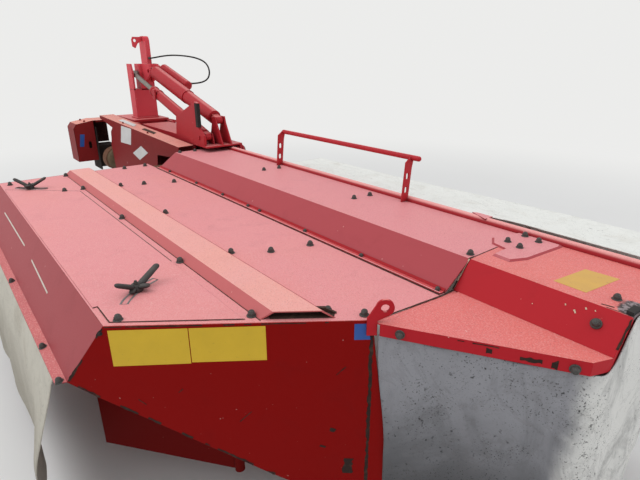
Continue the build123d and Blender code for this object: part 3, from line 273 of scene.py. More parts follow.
def canvas(name, pale_color, grey, stain, low, high, dirt, specks, lines, edge=None):
    """Coated canvas: pale above, greyer towards its hem as painted shade low on the hanging cloth, with specks,
    smears, creases and fine weave.
    """
    g = Graph(name)
    z = g.height()
    broad = g.noise(2.6, 6, 0.62, distortion=0.8)
    smear = g.noise(4.2, 6, 0.7, vector=g.coords((1, 1, 0.45)), distortion=1.2)
    blots = g.noise(58, 5, 0.62)
    zone = g.noise(4.5, 4, 0.6)
    dots = g.noise(260, 2, 0.5)
    # Painted shade: greyer towards the hem, low on the hanging cloth
    fade = g.step(g.plus(z, g.sway(broad, 0.5)), low, high)
    color = g.mix(fade, grey, pale_color)
    # Painted light: past a given edge along an axis the cloth turns lighter, where it is lit round the corner
    if edge:
        axis, start, end, bright = edge
        lit = g.step(g.plus(g.height(axis), g.sway(broad, 0.12)), start, end)
        color = g.mix(lit, color, bright)
    color = g.mix(g.times(g.step(smear, 0.48, 0.72), dirt), color, stain)
    black = g.times(g.step(blots, 0.6, 0.68), g.times(g.step(zone, 0.42, 0.62), specks), True)
    color = g.mix(black, color, (44, 42, 42))
    spots = g.noise(170, 3, 0.6)
    colony = g.noise(6, 5, 0.62, distortion=1.0)
    mould = g.times(g.step(spots, 0.6, 0.66), g.times(g.step(colony, 0.4, 0.6), specks), True)
    color = g.mix(mould, color, (40, 38, 38))
    color = g.mix(g.times(g.step(dots, 0.66, 0.72), dirt * 0.7), color, (74, 70, 66))
    wave = g.node("TexWave", settings={"bands_direction": "DIAGONAL"}, Vector=g.coords(), Scale=260, Distortion=1.5)
    crease = g.noise(7, 8, 0.6, vector=g.coords((1.6, 1.6, 0.7)), distortion=2.6)
    thin = g.step(g.math("ABSOLUTE", g.math("SUBTRACT", g.noise(3.2, 7, 0.6, distortion=1.4), 0.5), 0), 0.0, 0.03)
    color = g.mix(g.times(g.flip(thin), lines), color, (92, 88, 86))
    relief = g.plus(g.times(wave, 0.04), g.plus(crease, g.times(thin, 1.5 * lines)))
    g.shader.inputs["Specular IOR Level"].default_value = 0.25
    return g.finish(color, 0.8, g.bump(relief, 0.35, 0.012))


def sticker(name, face, worn, amount, back):
    """A blank printed foil, scuffed and dirty at its edges."""
    g = Graph(name)
    scuff = g.noise(70, 6, 0.7)
    broad = g.noise(12, 4, 0.6)
    color = g.mix(broad, face, worn)
    color = g.mix(g.times(g.step(scuff, 0.62, 0.7), amount), color, back)
    return g.finish(color, 0.5, g.bump(scuff, 0.05, 0.0005))


paints = {
    # name: (top, side, dust, chips, grime, rust, rough, warm, sheen, place of a worn patch, range of its fading)
    "deck": ((232, 146, 148), (190, 78, 80), 0.22, 0.6, 0.16, 0.4, 0.46, 0.22, 0.3),
    "channel": ((240, 166, 158), (200, 104, 104), 0.24, 0.4, 0.1, 0.3, 0.48, 0.35, 0.3),
    "hood": ((228, 142, 146), (178, 74, 80), 0.22, 0.6, 0.16, 0.4, 0.44, 0.12, 0.26),
    "wing": ((230, 118, 114), (186, 34, 44), 0.26, 0.7, 0.2, 0.6, 0.42, 0.25, 0.2, (4.622, -0.352, 1.08)),
    "bead": ((206, 62, 66), (176, 34, 42), 0.1, 0.3, 0.2, 0.4, 0.42, 0.1, 0.2),
    # end: deep red, partly its own less faded colour and partly painted shade on the end plate
    "end": ((190, 60, 54), (138, 14, 12), 0.15, 0.25, 0.3, 0.8, 0.4, 0.1, 0.14),
    "rear": ((206, 104, 104), (166, 76, 80), 0.3, 0.4, 0.3, 0.5, 0.5, 0.2, 0.25),
    "tube": ((214, 84, 86), (184, 44, 52), 0.26, 0.4, 0.25, 0.5, 0.42, 0.15, 0.26),
    # roll: pale top over deep side across a wide range, a painted highlight along the tube's top
    "roll": ((246, 164, 160), (168, 36, 44), 0.2, 0.4, 0.2, 0.5, 0.4, 0.1, 0.26, None, (0.5, 0.96)),
    "post": ((226, 122, 122), (216, 74, 84), 0.3, 0.4, 0.25, 0.5, 0.42, 0.15, 0.26),
    "head": ((214, 104, 104), (176, 42, 50), 0.3, 0.4, 0.25, 0.5, 0.42, 0.15, 0.26),
    # inside: the red paint darkened as painted shade, for parts within the mower
    "inside_shade": ((112, 26, 22), (104, 12, 10), 0.1, 0.1, 0.4, 0.8, 0.6, 0.1, 0.15),
    "cover": ((228, 148, 134), (132, 36, 36), 0.35, 0.4, 0.35, 0.5, 0.46, 0.4, 0.2),
}
red = {name: paint("paint_" + name, *values) for name, values in paints.items()}
steel = metal("worn_steel", (96, 92, 88), (150, 146, 140), (92, 64, 50), 0.45)
bolt_steel = metal("bolt_steel", (54, 54, 54), (104, 102, 98), (60, 46, 40), 0.35, 0.5, 0.5, 300)
rusty = metal("rusty_iron", (92, 58, 42), (134, 96, 72), (60, 38, 30), 0.6, 0.7, 0.2, 40)
chrome = metal("dusty_rod", (120, 118, 112), (160, 158, 152), (128, 112, 96), 0.5, 0.3, 0.9, 50)
plastic = soft_dark("black_plastic", (30, 30, 31), (54, 52, 51), (112, 100, 92), 0.35, 0.5)
rubber = soft_dark("black_rubber", (18, 18, 18), (34, 33, 32), (80, 72, 64), 0.3, 0.75)
# Dark dirt for seams and rust edges; also painted shade where it fills the channel mouth, the guard's lining and the
# cover's slot
dirt_and_shade = soft_dark("dirt_and_shade", (18, 14, 13), (58, 34, 26), (120, 92, 74), 0.35, 0.9, 240)
flakes = soft_dark("paint_flakes", (206, 170, 150), (228, 206, 180), (150, 112, 60), 0.5, 0.8, 160)
rim_metal = metal("slot_rim", (112, 108, 108), (156, 150, 148), (128, 96, 94), 0.4, 0.5, 0.5, 120)
# Near-black gearbox: its own dark iron, darkened further as painted shade inside the guard
shaded_case_iron = metal("dirty_shaded_case", (26, 22, 20), (48, 40, 35), (70, 50, 38), 0.3, 0.8, 0.1, 50)
dome_iron = metal("olive_dome", (74, 58, 42), (118, 98, 70), (90, 52, 36), 0.5, 0.55, 0.3, 70)
stripe = sticker("pinstripe", (196, 184, 168), (222, 214, 204), 0.5, (160, 80, 76))
yellow = sticker("yellow_foil", (224, 184, 30), (206, 168, 24), 0.25, (120, 88, 30))
yellow_worn = sticker("yellow_foil_worn", (226, 178, 76), (206, 158, 84), 0.75, (176, 110, 96))
blue = sticker("blue_foil", (22, 70, 150), (40, 92, 168), 0.3, (20, 30, 50))
white_foil = sticker("white_foil", (226, 226, 224), (196, 194, 192), 0.35, (132, 60, 58))
top_canvas = canvas("canvas_top", (238, 238, 232), (204, 200, 192), (196, 186, 170), 0.6, 1.0, 0.3, 0.3, 0.05)
side_cloth = canvas("canvas_side", (152, 152, 157), (86, 86, 88), (100, 100, 102), 0.25, 0.85, 0.5, 0.9, 0.14,
                    ("X", 4.555, 4.625, (222, 221, 217)))
rear_cloth = canvas("canvas_rear", (200, 195, 182), (166, 160, 148), (150, 136, 116), 0.3, 0.75, 0.4, 0.3, 0.08)

for material, names in (
        (red["deck"], "rear_deck"), (red["channel"], "deck_channel"), (red["hood"], "front_hood"),
        (red["wing"], "wing wing_ledge lifting_eye"), (red["end"], "outer_end_plate"), (red["rear"], "rear_panel"),
        (red["tube"], "front_tube guard_bar guard_hinges front_guard_frame"), (red["cover"], "drive_cover"),
        (red["head"], "headstock_frame post mast pressure_store carrying_arm stop_plate lift_barrel spring_tube "
                      "spring_inner_tube gearbox_guard parking_stand carry_lug frame_beam"),
        (red["inside_shade"], "inner_end_plate front_inner_wall inner_leg outer_leg cutterbar skids rotor_bracket "
                        "conditioner_rotor swath_door_outer swath_door_inner"),
        (steel, "arm_pivot_pin float_pin drive_shaft_outer disc_1 disc_2 disc_3 disc_4 disc_5 disc_6 disc_7"),
        (chrome, "lift_rod"), (rusty, "mower_gearbox drive_shaft_inner"), (shaded_case_iron, "headstock_gearbox"),
        (plastic, "door_handle_outer door_handle_inner"),
        (top_canvas, "front_canvas"), (side_cloth, "side_canvas"), (rear_cloth, "rear_canvas")):
    for name in names.split():
        nodes[name].data.materials.clear()
        nodes[name].data.materials.append(material)


# Pieces

def piece(name, mesh, material, body="mower", smooth=False):
    """One visible piece made of a bmesh, riding on a body."""
    data = bpy.data.meshes.new(name)
    mesh.to_mesh(data)
    mesh.free()
    data.materials.append(material)
    for face in data.polygons:
        face.use_smooth = smooth
    made = add_object(name, data)
    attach(made, body)
    return made


def frame_at(place, normal, turn=0.0):
    """Matrix whose Z points along a normal, turned about it."""
    look = Vector(normal).normalized().to_track_quat("Z", "Y").to_matrix().to_4x4()
    return Matrix.Translation(Vector(place)) @ look @ Matrix.Rotation(turn, 4, "Z")


def wrap(mesh, low, high):
    """Faces between two closed rings of corners."""
    for k in range(len(low)):
        m = (k + 1) % len(low)
        mesh.faces.new((low[k], low[m], high[m], high[k]))


def turned(mesh, matrix, rings, sides, squash=1.0):
    """A solid of revolution about a matrix's Z: rings are (radius, height)."""
    loops = []
    for radius, high in rings:
        loops.append([
            mesh.verts.new(matrix @ Vector((radius * cos(tau * k / sides),
                                            radius * squash * sin(tau * k / sides), high)))
            for k in range(sides)])
    for low, high in zip(loops, loops[1:]):
        wrap(mesh, low, high)
    mesh.faces.new(loops[0][::-1])
    mesh.faces.new(loops[-1])


def box(mesh, matrix, size):
    """A block of one size, its middle at a matrix's origin."""
    made = bmesh.ops.create_cube(mesh, size=1)
    bmesh.ops.scale(mesh, vec=size, verts=made["verts"])
    bmesh.ops.transform(mesh, matrix=matrix, verts=made["verts"])


def rod(mesh, start, end, radius, flat, sides, end_radius=None):
    """A bar with rounded ends between two points, flattened upright by a share."""
    a, b = Vector(start), Vector(end)
    run = (b - a).length
    last = end_radius or radius
    side = (b - a).cross(Z).normalized()
    over = side.cross(b - a).normalized()
    turn = Matrix((side, over, (b - a).normalized())).transposed().to_4x4()
    rings = [(radius * sin(q), radius - radius * cos(q)) for q in (0.15, 0.6, 1.1, 1.57)]
    rings += [(last * sin(q), run - last + last * cos(q)) for q in (1.57, 1.1, 0.6, 0.15)]
    turned(mesh, Matrix.Translation(a) @ turn, rings, sides, flat)


def slab(mesh, points, thickness, normal):
    """A plate of one outline, its face towards the normal, its back below it."""
    n = Vector(normal).normalized()
    top = [mesh.verts.new(Vector(p)) for p in points]
    low = [mesh.verts.new(Vector(p) - n * thickness) for p in points]
    mesh.faces.new(top)
    mesh.faces.new(low[::-1])
    wrap(mesh, low, top)


def cut_plate(mesh, outline, holes, matrix, thickness):
    """A plate centred on a matrix's XY plane, cut by round or oval holes: (x, y, half length, radius)."""
    flat = bpy.data.curves.new("plate", "CURVE")
    flat.dimensions, flat.fill_mode, flat.extrude = "2D", "BOTH", thickness / 2
    loops = [outline]
    for x, y, half, radius in holes:
        loops.append([(x + radius * cos(a), y + radius * sin(a) + (half if sin(a) > 0 else -half))
                      for a in (tau * (k + 0.5) / 20 for k in range(20))])
    for loop in loops:
        line = flat.splines.new("POLY")
        line.points.add(len(loop) - 1)
        for point, (x, y) in zip(line.points, loop):
            point.co = (x, y, 0, 1)
        line.use_cyclic_u = True
    holder = add_object("plate", flat)
    bpy.context.view_layer.update()
    made = bpy.data.meshes.new_from_object(holder.evaluated_get(bpy.context.evaluated_depsgraph_get()))
    made.transform(matrix)
    mesh.from_mesh(made)
    bpy.data.objects.remove(holder)
    bpy.data.curves.remove(flat)
    bpy.data.meshes.remove(made)


def at_height(z, *points):
    """Points of one height: each is (x, y)."""
    return [(x, y, z) for x, y in points]


def along_x(start, end, near, far):
    """Corners of a strip along X between two edges: each is (y, z)."""
    return [(start, *near), (end, *near), (end, *far), (start, *far)]


thin_lift = 0.0006


def ragged_strip(mesh, points, width, normal, lift, ragged, seed, step=0.007, cut=None):
    """A flat stripe along an open line on a face; ragged lets its width wander, cut leaves breaks in it."""
    n = Vector(normal).normalized()
    spots = []
    for a, b in zip(points, points[1:]):
        a, b = Vector(a), Vector(b)
        count = max(int((b - a).length / step), 1)
        side = n.cross(b - a).normalized()
        spots += [(a.lerp(b, k / count), side) for k in range(count + 1)]
    last = None
    for spot, side in spots:
        if cut is not None and noise.noise(spot * 22 + Vector((seed, seed, 5))) < cut:
            last = None
            continue
        wide, wide2 = (width * (0.5 + 0.5 * ragged * noise.noise(spot * 60 + Vector(offset)))
                       for offset in ((seed, 0, 0), (0, seed + 7, 0)))
        pair = (mesh.verts.new(spot + side * wide + n * lift), mesh.verts.new(spot - side * wide2 + n * lift))
        if last:
            mesh.faces.new((last[0], last[1], pair[1], pair[0]))
        last = pair


def bolt(mesh, place, normal, scale, seed=0):
    """Flanged nut with a round collar on top."""
    matrix = frame_at(place, normal, seed * 2.4) @ Matrix.Scale(scale, 4)
    turned(mesh, matrix, [(0.0145, -0.001), (0.0145, 0.0014), (0.0128, 0.003)], 20)
    turned(mesh, matrix, [(0.0112, 0.003), (0.0116, 0.0042), (0.0112, 0.0108), (0.0098, 0.0124)], 6)
    turned(mesh, matrix, [(0.0088, 0.0124), (0.0084, 0.0152), (0.0062, 0.0172)], 14)
    turned(mesh, matrix, [(0.0044, 0.0172), (0.004, 0.0186)], 10)


deck_z, ridge_z = 0.98, 1.08
sheet = 0.0018
deck_bolts = [
    (1.323, -1.504), (1.279, -1.157), (1.712, -1.261), (1.733, -1.157), (1.3, -0.756), (1.3, -0.6),
    (1.804, -0.945), (1.851, -0.808), (1.924, -0.631), (2.489, -1.157), (2.547, -0.945), (3.219, -1.157),
    (3.265, -0.945), (3.361, -0.802), (3.407, -0.622), (3.536, -1.507), (3.783, -1.157), (3.92, -0.945),
    (4.012, -0.865),
]
lip_bolts = [(x, -0.541) for x in (1.637, 2.074, 2.436, 2.733, 2.852, 3.261, 3.654, 4.055)]
hood_bolts = [
    (1.46, -0.376), (1.47, -0.256), (2.375, -0.2), (2.387, -0.09), (3.229, -0.192), (3.239, -0.087),
    (4.058, -0.363), (4.553, -0.318),
]
pad_bolts = [(4.082, -0.148), (4.093, -0.037), (4.146, -0.17), (4.162, -0.057)]
fasteners = bmesh.new()
for places, z, scale in ((deck_bolts, deck_z + 0.001, 1.15), (lip_bolts, deck_z + 0.004, 0.85),
                         (hood_bolts, ridge_z, 1.05), (pad_bolts, ridge_z + 0.006, 1.0)):
    for number, (x, y) in enumerate(places):
        bolt(fasteners, (x, y, z), Z, scale, number)
wing_slope = Vector((0, -0.1, 0.085)).normalized()
bolt(fasteners, (4.551, -0.4385, 1.0385), wing_slope, 1.15, 3)
flange_way = Vector((4.604 - 4.084, -0.553 + 0.865, 0)).normalized()
flange_out = Vector((flange_way.y, -flange_way.x, 0))
for x, y, z in ((4.14, -0.831, 0.955), (4.569, -0.574, 0.95)):
    bolt(fasteners, (x, y, z), flange_out, 1.1, x)
rear_out = Vector((0, -0.2, 1)).normalized()
for x in (2.46, 3.17, 3.43):
    bolt(fasteners, (x, -1.696, 0.767), rear_out, 1.0, x)
piece("hood_bolts", fasteners, bolt_steel, "mower")

overlap = bmesh.new()
slab(overlap, at_height(deck_z + sheet, (1.775, -1.184), (1.45, -1.549), (3.402, -1.549), (3.402, -1.535),
                        (3.53, -1.535), (3.783, -1.19), (3.192, -1.184)), sheet, Z)
lip = deck_z + 0.004
slab(overlap, along_x(1.432, 4.078, (-0.556, lip + 0.0035), (-0.5515, lip + 0.0045)), 0.0045, Z)
piece("deck_overlap", overlap, red["deck"])

edge_strip = bmesh.new()
for corners in (((4.058, -0.864), (4.0865, -0.558), (4.1, -0.6), (4.086, -0.864)),
                ((4.0865, -0.558), (4.0865, -0.487), (4.106, -0.487), (4.1, -0.6))):
    slab(edge_strip, at_height(deck_z - 0.0022, *corners), 0.004, Z)
piece("ledge_edge", edge_strip, red["wing"])

bead = bmesh.new()
bead_bend = (-0.535, lip + 0.003)
slab(bead, along_x(1.432, 4.079, (-0.551, lip + 0.0012), bead_bend), 0.001, Z)
slab(bead, along_x(1.432, 4.079, bead_bend, (-0.527, lip + 0.012)), 0.001, (0, -0.75, 0.66))
piece("lip_bead", bead, red["bead"])

seams = bmesh.new()
over_z = deck_z + sheet
for number, (points, width, normal, lift, ragged) in enumerate((
        (at_height(over_z, (1.444, -1.549), (1.774, -1.186), (3.192, -1.183)), 0.0035, Z, 0.0002, 0.4),
        (at_height(over_z, (3.402, -1.55), (3.402, -1.534), (3.534, -1.534), (3.79, -1.186)), 0.004, Z, 0.0002, 0.5),
        (at_height(deck_z, (1.43, -0.5585), (4.08, -0.5585)), 0.005, Z, 0.0006, 0.4),
        (at_height(deck_z, (1.236, -1.1515), (3.83, -1.1515)), 0.003, Z, 0.0006, 0.5),
        (at_height(deck_z, (4.0565, -0.866), (4.0857, -0.557), (4.0862, -0.489)), 0.0055, Z, 0.0012, 0.4),
        ([(4.081, -0.484, 0.982), (4.081, -0.4, 1.081), (4.081, -0.37, 1.081)], 0.0065, wing_slope, 0.0012, 0.5),
        (at_height(ridge_z, (4.081, -0.37), (4.081, -0.22)), 0.003, Z, 0.0008, 0.6)), 1):
    ragged_strip(seams, points, width, normal, lift, ragged, number)
piece("seam_gaps", seams, dirt_and_shade, "mower")

# The end plate's rear top corner, its way along and its way out
end_corner = Vector((3.542, -1.556, 0))
end_way = Vector((4.055 - 3.542, -0.861 + 1.556, 0)).normalized()
end_out = Vector((end_way.y, -end_way.x, 0))

# Painted shade: a dark plug and a dark strip on the deck stand for the shade in the channel's open mouth
mouth = bmesh.new()
mouth_at = end_corner + Z * deck_z + end_way * 0.63 - end_out * 0.045
slab(mouth, [mouth_at + end_way * s + Z * z
             for s, z in ((-0.115, 0.0015), (0.115, 0.0015), (0.075, 0.0235), (-0.075, 0.0235))], 0.012, end_out)
slab(mouth, [mouth_at + end_way * s + end_out * d + Z * 0.0012
             for s, d in ((-0.108, 0), (0.108, 0), (0.104, 0.026), (-0.104, 0.026))], 0.0008, Z)
piece("channel_mouth_shade", mouth, dirt_and_shade, "mower")

flaking = bmesh.new()
ragged_strip(flaking, [(4.082, -0.462, 1.008), (4.082, -0.402, 1.079)], 0.0042, wing_slope, 0.0017,
             1.0, 11, 0.004, 0.12)
for x, share, long in ((4.486, 0.62, 0.012), (4.452, 0.72, 0.006), (4.51, 0.8, 0.007), (4.535, 0.83, 0.005),
                       (4.36, 0.45, 0.004)):
    low_spot = Vector((x, -0.485, 0.98)).lerp(Vector((x, -0.4, 1.08)), share)
    high_spot = low_spot + Vector((-0.1, 0.085, 0.1)).normalized() * long
    ragged_strip(flaking, [low_spot, high_spot], long * 0.6, wing_slope, 0.0009, 0.8, x * 40, 0.003)
piece("seam_flakes", flaking, flakes, "mower")

pad = bmesh.new()
pad_outline = [Vector(spot) for spot in at_height(
    0, (4.011, -0.146), (4.049, -0.206), (4.116, -0.223), (4.118, -0.31), (4.19, -0.316), (4.223, -0.246),
    (4.243, -0.03), (4.236, -0.006), (4.05, -0.006))]
centre = sum(pad_outline, Vector()) / len(pad_outline)
low_ring = [pad.verts.new(spot + Z * (ridge_z + 0.0003)) for spot in pad_outline]
high_ring = [pad.verts.new(spot.lerp(centre, 0.09) + Z * (ridge_z + 0.006)) for spot in pad_outline]
wrap(pad, low_ring, high_ring)
pad.faces.new(high_ring)
bmesh.ops.recalc_face_normals(pad, faces=pad.faces)
piece("hinge_pad", pad, red["hood"])


def foil(name, corners, normal, material, body="mower"):
    """A blank sticker on a face, between four corners."""
    mesh = bmesh.new()
    n = Vector(normal).normalized()
    slab(mesh, [Vector(c) + n * thin_lift for c in corners], 0.0004, n)
    piece(name, mesh, material, body)


def on_end(s, z):
    """Point on the end plate's outer face, s along it from its rear top corner."""
    return end_corner + end_way * s + end_out * 0.004 + Z * z


for name, material, corners in (
        ("end_sticker_rear", yellow, ((0.012, 0.965), (0.012, 0.83), (0.264, 0.834), (0.264, 0.967))),
        ("end_sticker_front", yellow, ((0.267, 0.967), (0.267, 0.838), (0.512, 0.84), (0.512, 0.969))),
        ("end_sticker_small", blue, ((0.799, 0.969), (0.799, 0.909), (0.853, 0.909), (0.853, 0.969)))):
    foil(name, [on_end(*corner) for corner in corners], end_out, material)
foil("wing_sticker", at_height(ridge_z, (4.367, -0.343), (4.474, -0.347), (4.501, -0.158), (4.392, -0.166)), Z,
     yellow_worn)
rear_normal = Vector((0, -0.208, 0.121)).normalized()


def on_rear(x, down):
    """Point on the rear panel, at one distance down its slope."""
    return Vector((x, -1.556 - 0.503 * down, 0.98 - 0.864 * down))


for number, (x0, d0, x1, d1) in enumerate(((1.703, 0.083, 2.369, 0.088), (2.567, 0.098, 2.944, 0.118))):
    foil(f"pinstripe_{number + 1}",
         [on_rear(x0, d0), on_rear(x0, d0 + 0.008), on_rear(x1, d1 + 0.008), on_rear(x1, d1)], rear_normal, stripe)

edges = bmesh.new()
for seed, points, width, ragged, step, cut in (
        (21, ((-0.004, 0.972), (-0.143, 0.776)), 0.007, 1.0, 0.005, -0.15),
        (22, ((-0.14, 0.772), (-0.046, 0.706), (0.117, 0.603), (0.276, 0.499), (0.507, 0.352), (0.64, 0.276),
              (0.85, 0.256)), 0.008, 1.0, 0.006, 0.0),
        (23, ((0.856, 0.93), (0.858, 0.6), (0.858, 0.26)), 0.012, 0.9, 0.006, None),
        (24, ((-0.002, 0.9765), (0.83, 0.9765)), 0.004, 0.8, 0.006, -0.1)):
    ragged_strip(edges, [on_end(*point) for point in points], width, end_out, thin_lift, ragged, seed, step, cut)
for s, z, length, lean, wide in (
        (0.715, 0.5, 0.1, 0.35, 0.02), (0.735, 0.56, 0.05, 0.2, 0.012), (0.79, 0.37, 0.07, 0.1, 0.03),
        (0.23, 0.735, 0.05, 0.9, 0.003), (0.76, 0.79, 0.05, 0.8, 0.003), (0.43, 0.61, 0.06, 0.8, 0.003),
        (0.08, 0.69, 0.05, -0.8, 0.003)):
    half = Vector((end_way.x * sin(lean), end_way.y * sin(lean), cos(lean))) * length / 2
    place = on_end(s, z)
    ragged_strip(edges, [place - half, place + half], wide, end_out, 0.0007, 1.0, s * 90, 0.004, -0.05)
for s, z, length, wide in ((0.35, 0.958, 0.05, 0.02), (0.45, 0.952, 0.06, 0.012), (0.53, 0.95, 0.05, 0.026),
                           (0.3, 0.973, 0.12, 0.003)):
    half = flange_way * length / 2
    place = Vector((4.084, -0.865, z)) + flange_way * s
    ragged_strip(edges, [place - half, place + half], wide, flange_out, 0.0009, 1.0, s * 50, 0.004, 0.0)
ragged_strip(edges, [(4.6285, -0.484, 0.981), (4.6285, -0.41, 1.072), (4.628, -0.398, 1.0815)], 0.007, wing_slope,
             0.0009, 1.0, 31, 0.004, -0.05)
ragged_strip(edges, at_height(ridge_z, (4.536, -0.386), (4.57, -0.379)), 0.006, Z, thin_lift, 0.5, 32)
ragged_strip(edges, at_height(ridge_z, (4.545, -0.396), (4.628, -0.394)), 0.003, Z, thin_lift, 1.0, 33, 0.004, -0.1)
piece("rust_edges", edges, dirt_and_shade, "mower")

corner = bmesh.new()
bolt(corner, on_end(-0.012, 0.955), end_out, 0.55)
box(corner, frame_at((4.617, -0.37, 1.062), (1, 0, 0)), (0.05, 0.06, 0.02))
piece("corner_bolt", corner, rubber, "mower")

# Slot rims and door handles
slot_radius, slot_half = 0.35, 0.0085
for door, (pivot_x, pivot_y, rest) in {"outer": (3.642, -1.17, 218.5), "inner": (1.262, -1.17, -45)}.items():
    rim = bmesh.new()
    rings = [[], [], []]
    for side, ways in ((1, range(-17, 18, 2)), (-1, range(17, -18, -2))):
        for degrees in ways:
            a = radians(rest + degrees)
            ray = Vector((cos(a), sin(a), 0))
            spot = Vector((pivot_x, pivot_y, deck_z)) + ray * (slot_radius + side * slot_half)
            out = ray * side
            swell = 0.011 + 0.005 * noise.noise(spot * 30)
            rings[0].append(rim.verts.new(spot + Z * 0.0025))
            rings[1].append(rim.verts.new(spot + out * swell * 0.6 + Z * 0.0035))
            rings[2].append(rim.verts.new(spot + out * swell + Z * 0.0003))
    for near, beyond in zip(rings, rings[1:]):
        wrap(rim, near, beyond)
    bmesh.ops.recalc_face_normals(rim, faces=rim.faces)
    piece(f"slot_rim_{door}", rim, rim_metal, "mower", True)

handle_arms = {
    # end of each arm from the hub's middle, and its half width
    "outer": [(0.03, -0.078, 0.042, 0.0155), (-0.044, 0.104, 0.048, 0.0155), (0.04, 0.036, 0.012, 0.0145),
              (0.028, -0.03, -0.006, 0.013)],
    "inner": [(-0.06, -0.075, 0.05, 0.0155), (0.03, 0.095, 0.05, 0.0155), (0.045, -0.03, 0.012, 0.0145),
              (-0.04, 0.03, 0.006, 0.013)],
}
for door, (hub_x, hub_y) in {"outer": (3.3681, -1.3879), "inner": (1.5095, -1.4175)}.items():
    grip = bmesh.new()
    hub = Vector((hub_x, hub_y, 0.996))
    turned(grip, frame_at(hub - Z * 0.014, Z),
           [(0.022, 0), (0.024, 0.003), (0.024, 0.014), (0.018, 0.021), (0.017, 0.026)], 20)
    for x, y, z, half in handle_arms[door]:
        end = hub + Vector((x, y, z))
        rod(grip, hub + Vector((x, y, 0)) * 0.12 + Z * 0.002, end, half, 0.62, 14, half * 0.92)
    made = piece(f"handle_{door}", grip, plastic, f"swath_door_{door}", True)
    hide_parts(f"door_handle_{door}")
    tip = bmesh.new()
    turned(tip, frame_at(hub + Z * 0.0115, Z), [(0.0105, 0), (0.011, 0.001), (0.011, 0.002)], 18)
    turned(tip, frame_at(hub + Z * 0.0135, Z, 0.4), [(0.0085, 0), (0.009, 0.001), (0.0085, 0.0065)], 6)
    turned(tip, frame_at(hub + Z * 0.02, Z), [(0.005, 0), (0.0048, 0.006)], 12)
    piece(f"handle_nut_{door}", tip, bolt_steel, f"swath_door_{door}")

# Drive cover and guard places, clutch cap
cover_start = Vector((0, -0.53, 0))
cover_run = Vector((1.398, 0.17, 0))
cover_way = cover_run.normalized()
cover_out = Vector((cover_way.y, -cover_way.x, 0))
cover_up = Vector((0.0926, 0.011, 1))


def on_cover(s, z):
    """Point on the drive cover's outer side, s along it."""
    return cover_start + cover_way * s + Z * z


def on_top(along, depth):
    """Point on the drive cover's top, along it and back from its near edge."""
    return on_cover(along, 1.2428 - 0.0926 * along) - cover_out * depth


for name, face, normal, material, corners in (
        ("cover_label", on_cover, cover_out, white_foil,
         ((0.444, 1.185), (0.391, 1.032), (0.59, 1.029), (0.637, 1.175))),
        ("cover_diamond", on_cover, cover_out, white_foil,
         ((0.727, 0.914), (0.607, 0.96), (0.782, 1.044), (0.895, 0.998))),
        ("cover_mark", on_top, cover_up, white_foil, ((0.3, 0.045), (0.27, 0.1), (0.54, 0.1), (0.6, 0.045))),
        # The slot is a dark foil: painted shade in its opening
        ("cover_slot_shade", on_top, cover_up, dirt_and_shade, ((0.72, 0.055), (0.7, 0.095), (0.9, 0.095), (0.93, 0.055)))):
    foil(name, [face(*corner) for corner in corners], normal, material, "arm")
foil("guard_decal", [(-0.112, y, z) for y, z in (
    (-0.706, 1.063), (-0.726, 0.946), (-0.688, 0.942), (-0.666, 1.059))], (1, 0, 0), blue, "headstock")
shaft_way = Vector((1.14, 0.139, 0)).normalized()
hub_at = Vector((-0.06, -0.467, 0.83))
cap = bmesh.new()
for k in range(8):
    around = Matrix.Rotation(tau * k / 8, 4, shaft_way) @ Vector((0, 0, 0.078))
    bolt(cap, hub_at + shaft_way * 0.056 + around, -shaft_way, 0.9, k)
    bolt(cap, hub_at + shaft_way * 0.146 + around, shaft_way, 0.9, k)
piece("clutch_bolts", cap, rusty, "shaft_inner")
dome = bmesh.new()
dome_rings = [(0.1, 0.0)] + [(0.1 * cos(q), 0.062 * sin(q)) for q in (0.2, 0.45, 0.7, 0.95, 1.15)]
turned(dome, frame_at(hub_at + shaft_way * 0.144, shaft_way), dome_rings + [(0.04, 0.06)], 28)
piece("clutch_dome", dome, dome_iron, "shaft_inner", True)


# Headstock: post, mast, gearbox guard, hose

def at_y(y):
    """Matrix that lays a plate's XY on the X-Z plane at one Y."""
    return Matrix.Translation((0, y, 0)) @ Matrix.Rotation(pi / 2, 4, "X")


def at_x(x):
    """Matrix that lays a plate's XY on the Y-Z plane at one X."""
    return Matrix(((0, 0, 1, x), (1, 0, 0, 0), (0, 1, 0, 0), (0, 0, 0, 1)))


def block(mesh, low, high):
    """A block between two corners."""
    middle = [(a + b) / 2 for a, b in zip(low, high)]
    box(mesh, Matrix.Translation(middle), [b - a for a, b in zip(low, high)])


post_low, post_high = -0.07, 0.06
post_near, post_far = -0.189, 0.02
post_foot, pocket_z, post_top = 1.19, 1.47, 1.7
post = bmesh.new()
block(post, (post_low, post_near, post_foot), (post_high, post_far, pocket_z))
cheek = [(post_low, pocket_z - 0.01), (post_high, pocket_z - 0.01), (post_high, 1.62), (0.034, post_top),
         (post_low, post_top)]
for near, far in ((post_near, -0.173), (-0.113, post_far)):
    cut_plate(post, cheek, [], at_y((near + far) / 2), far - near)
block(post, (post_low - 0.012, post_near - 0.012, post_foot), (post_high + 0.02, post_far, post_foot + 0.012))
spring_ear = [(-0.06, post_top), (0.235, post_top), (0.257, 1.64), (0.235, 1.6), (-0.06, 1.48)]
for y in (-0.075, 0.005):
    cut_plate(post, spring_ear, [(0.215, 1.64, 0, 0.0155)], at_y(y), 0.016)
made = piece("post_column", post, red["post"], "headstock")
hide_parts("post")

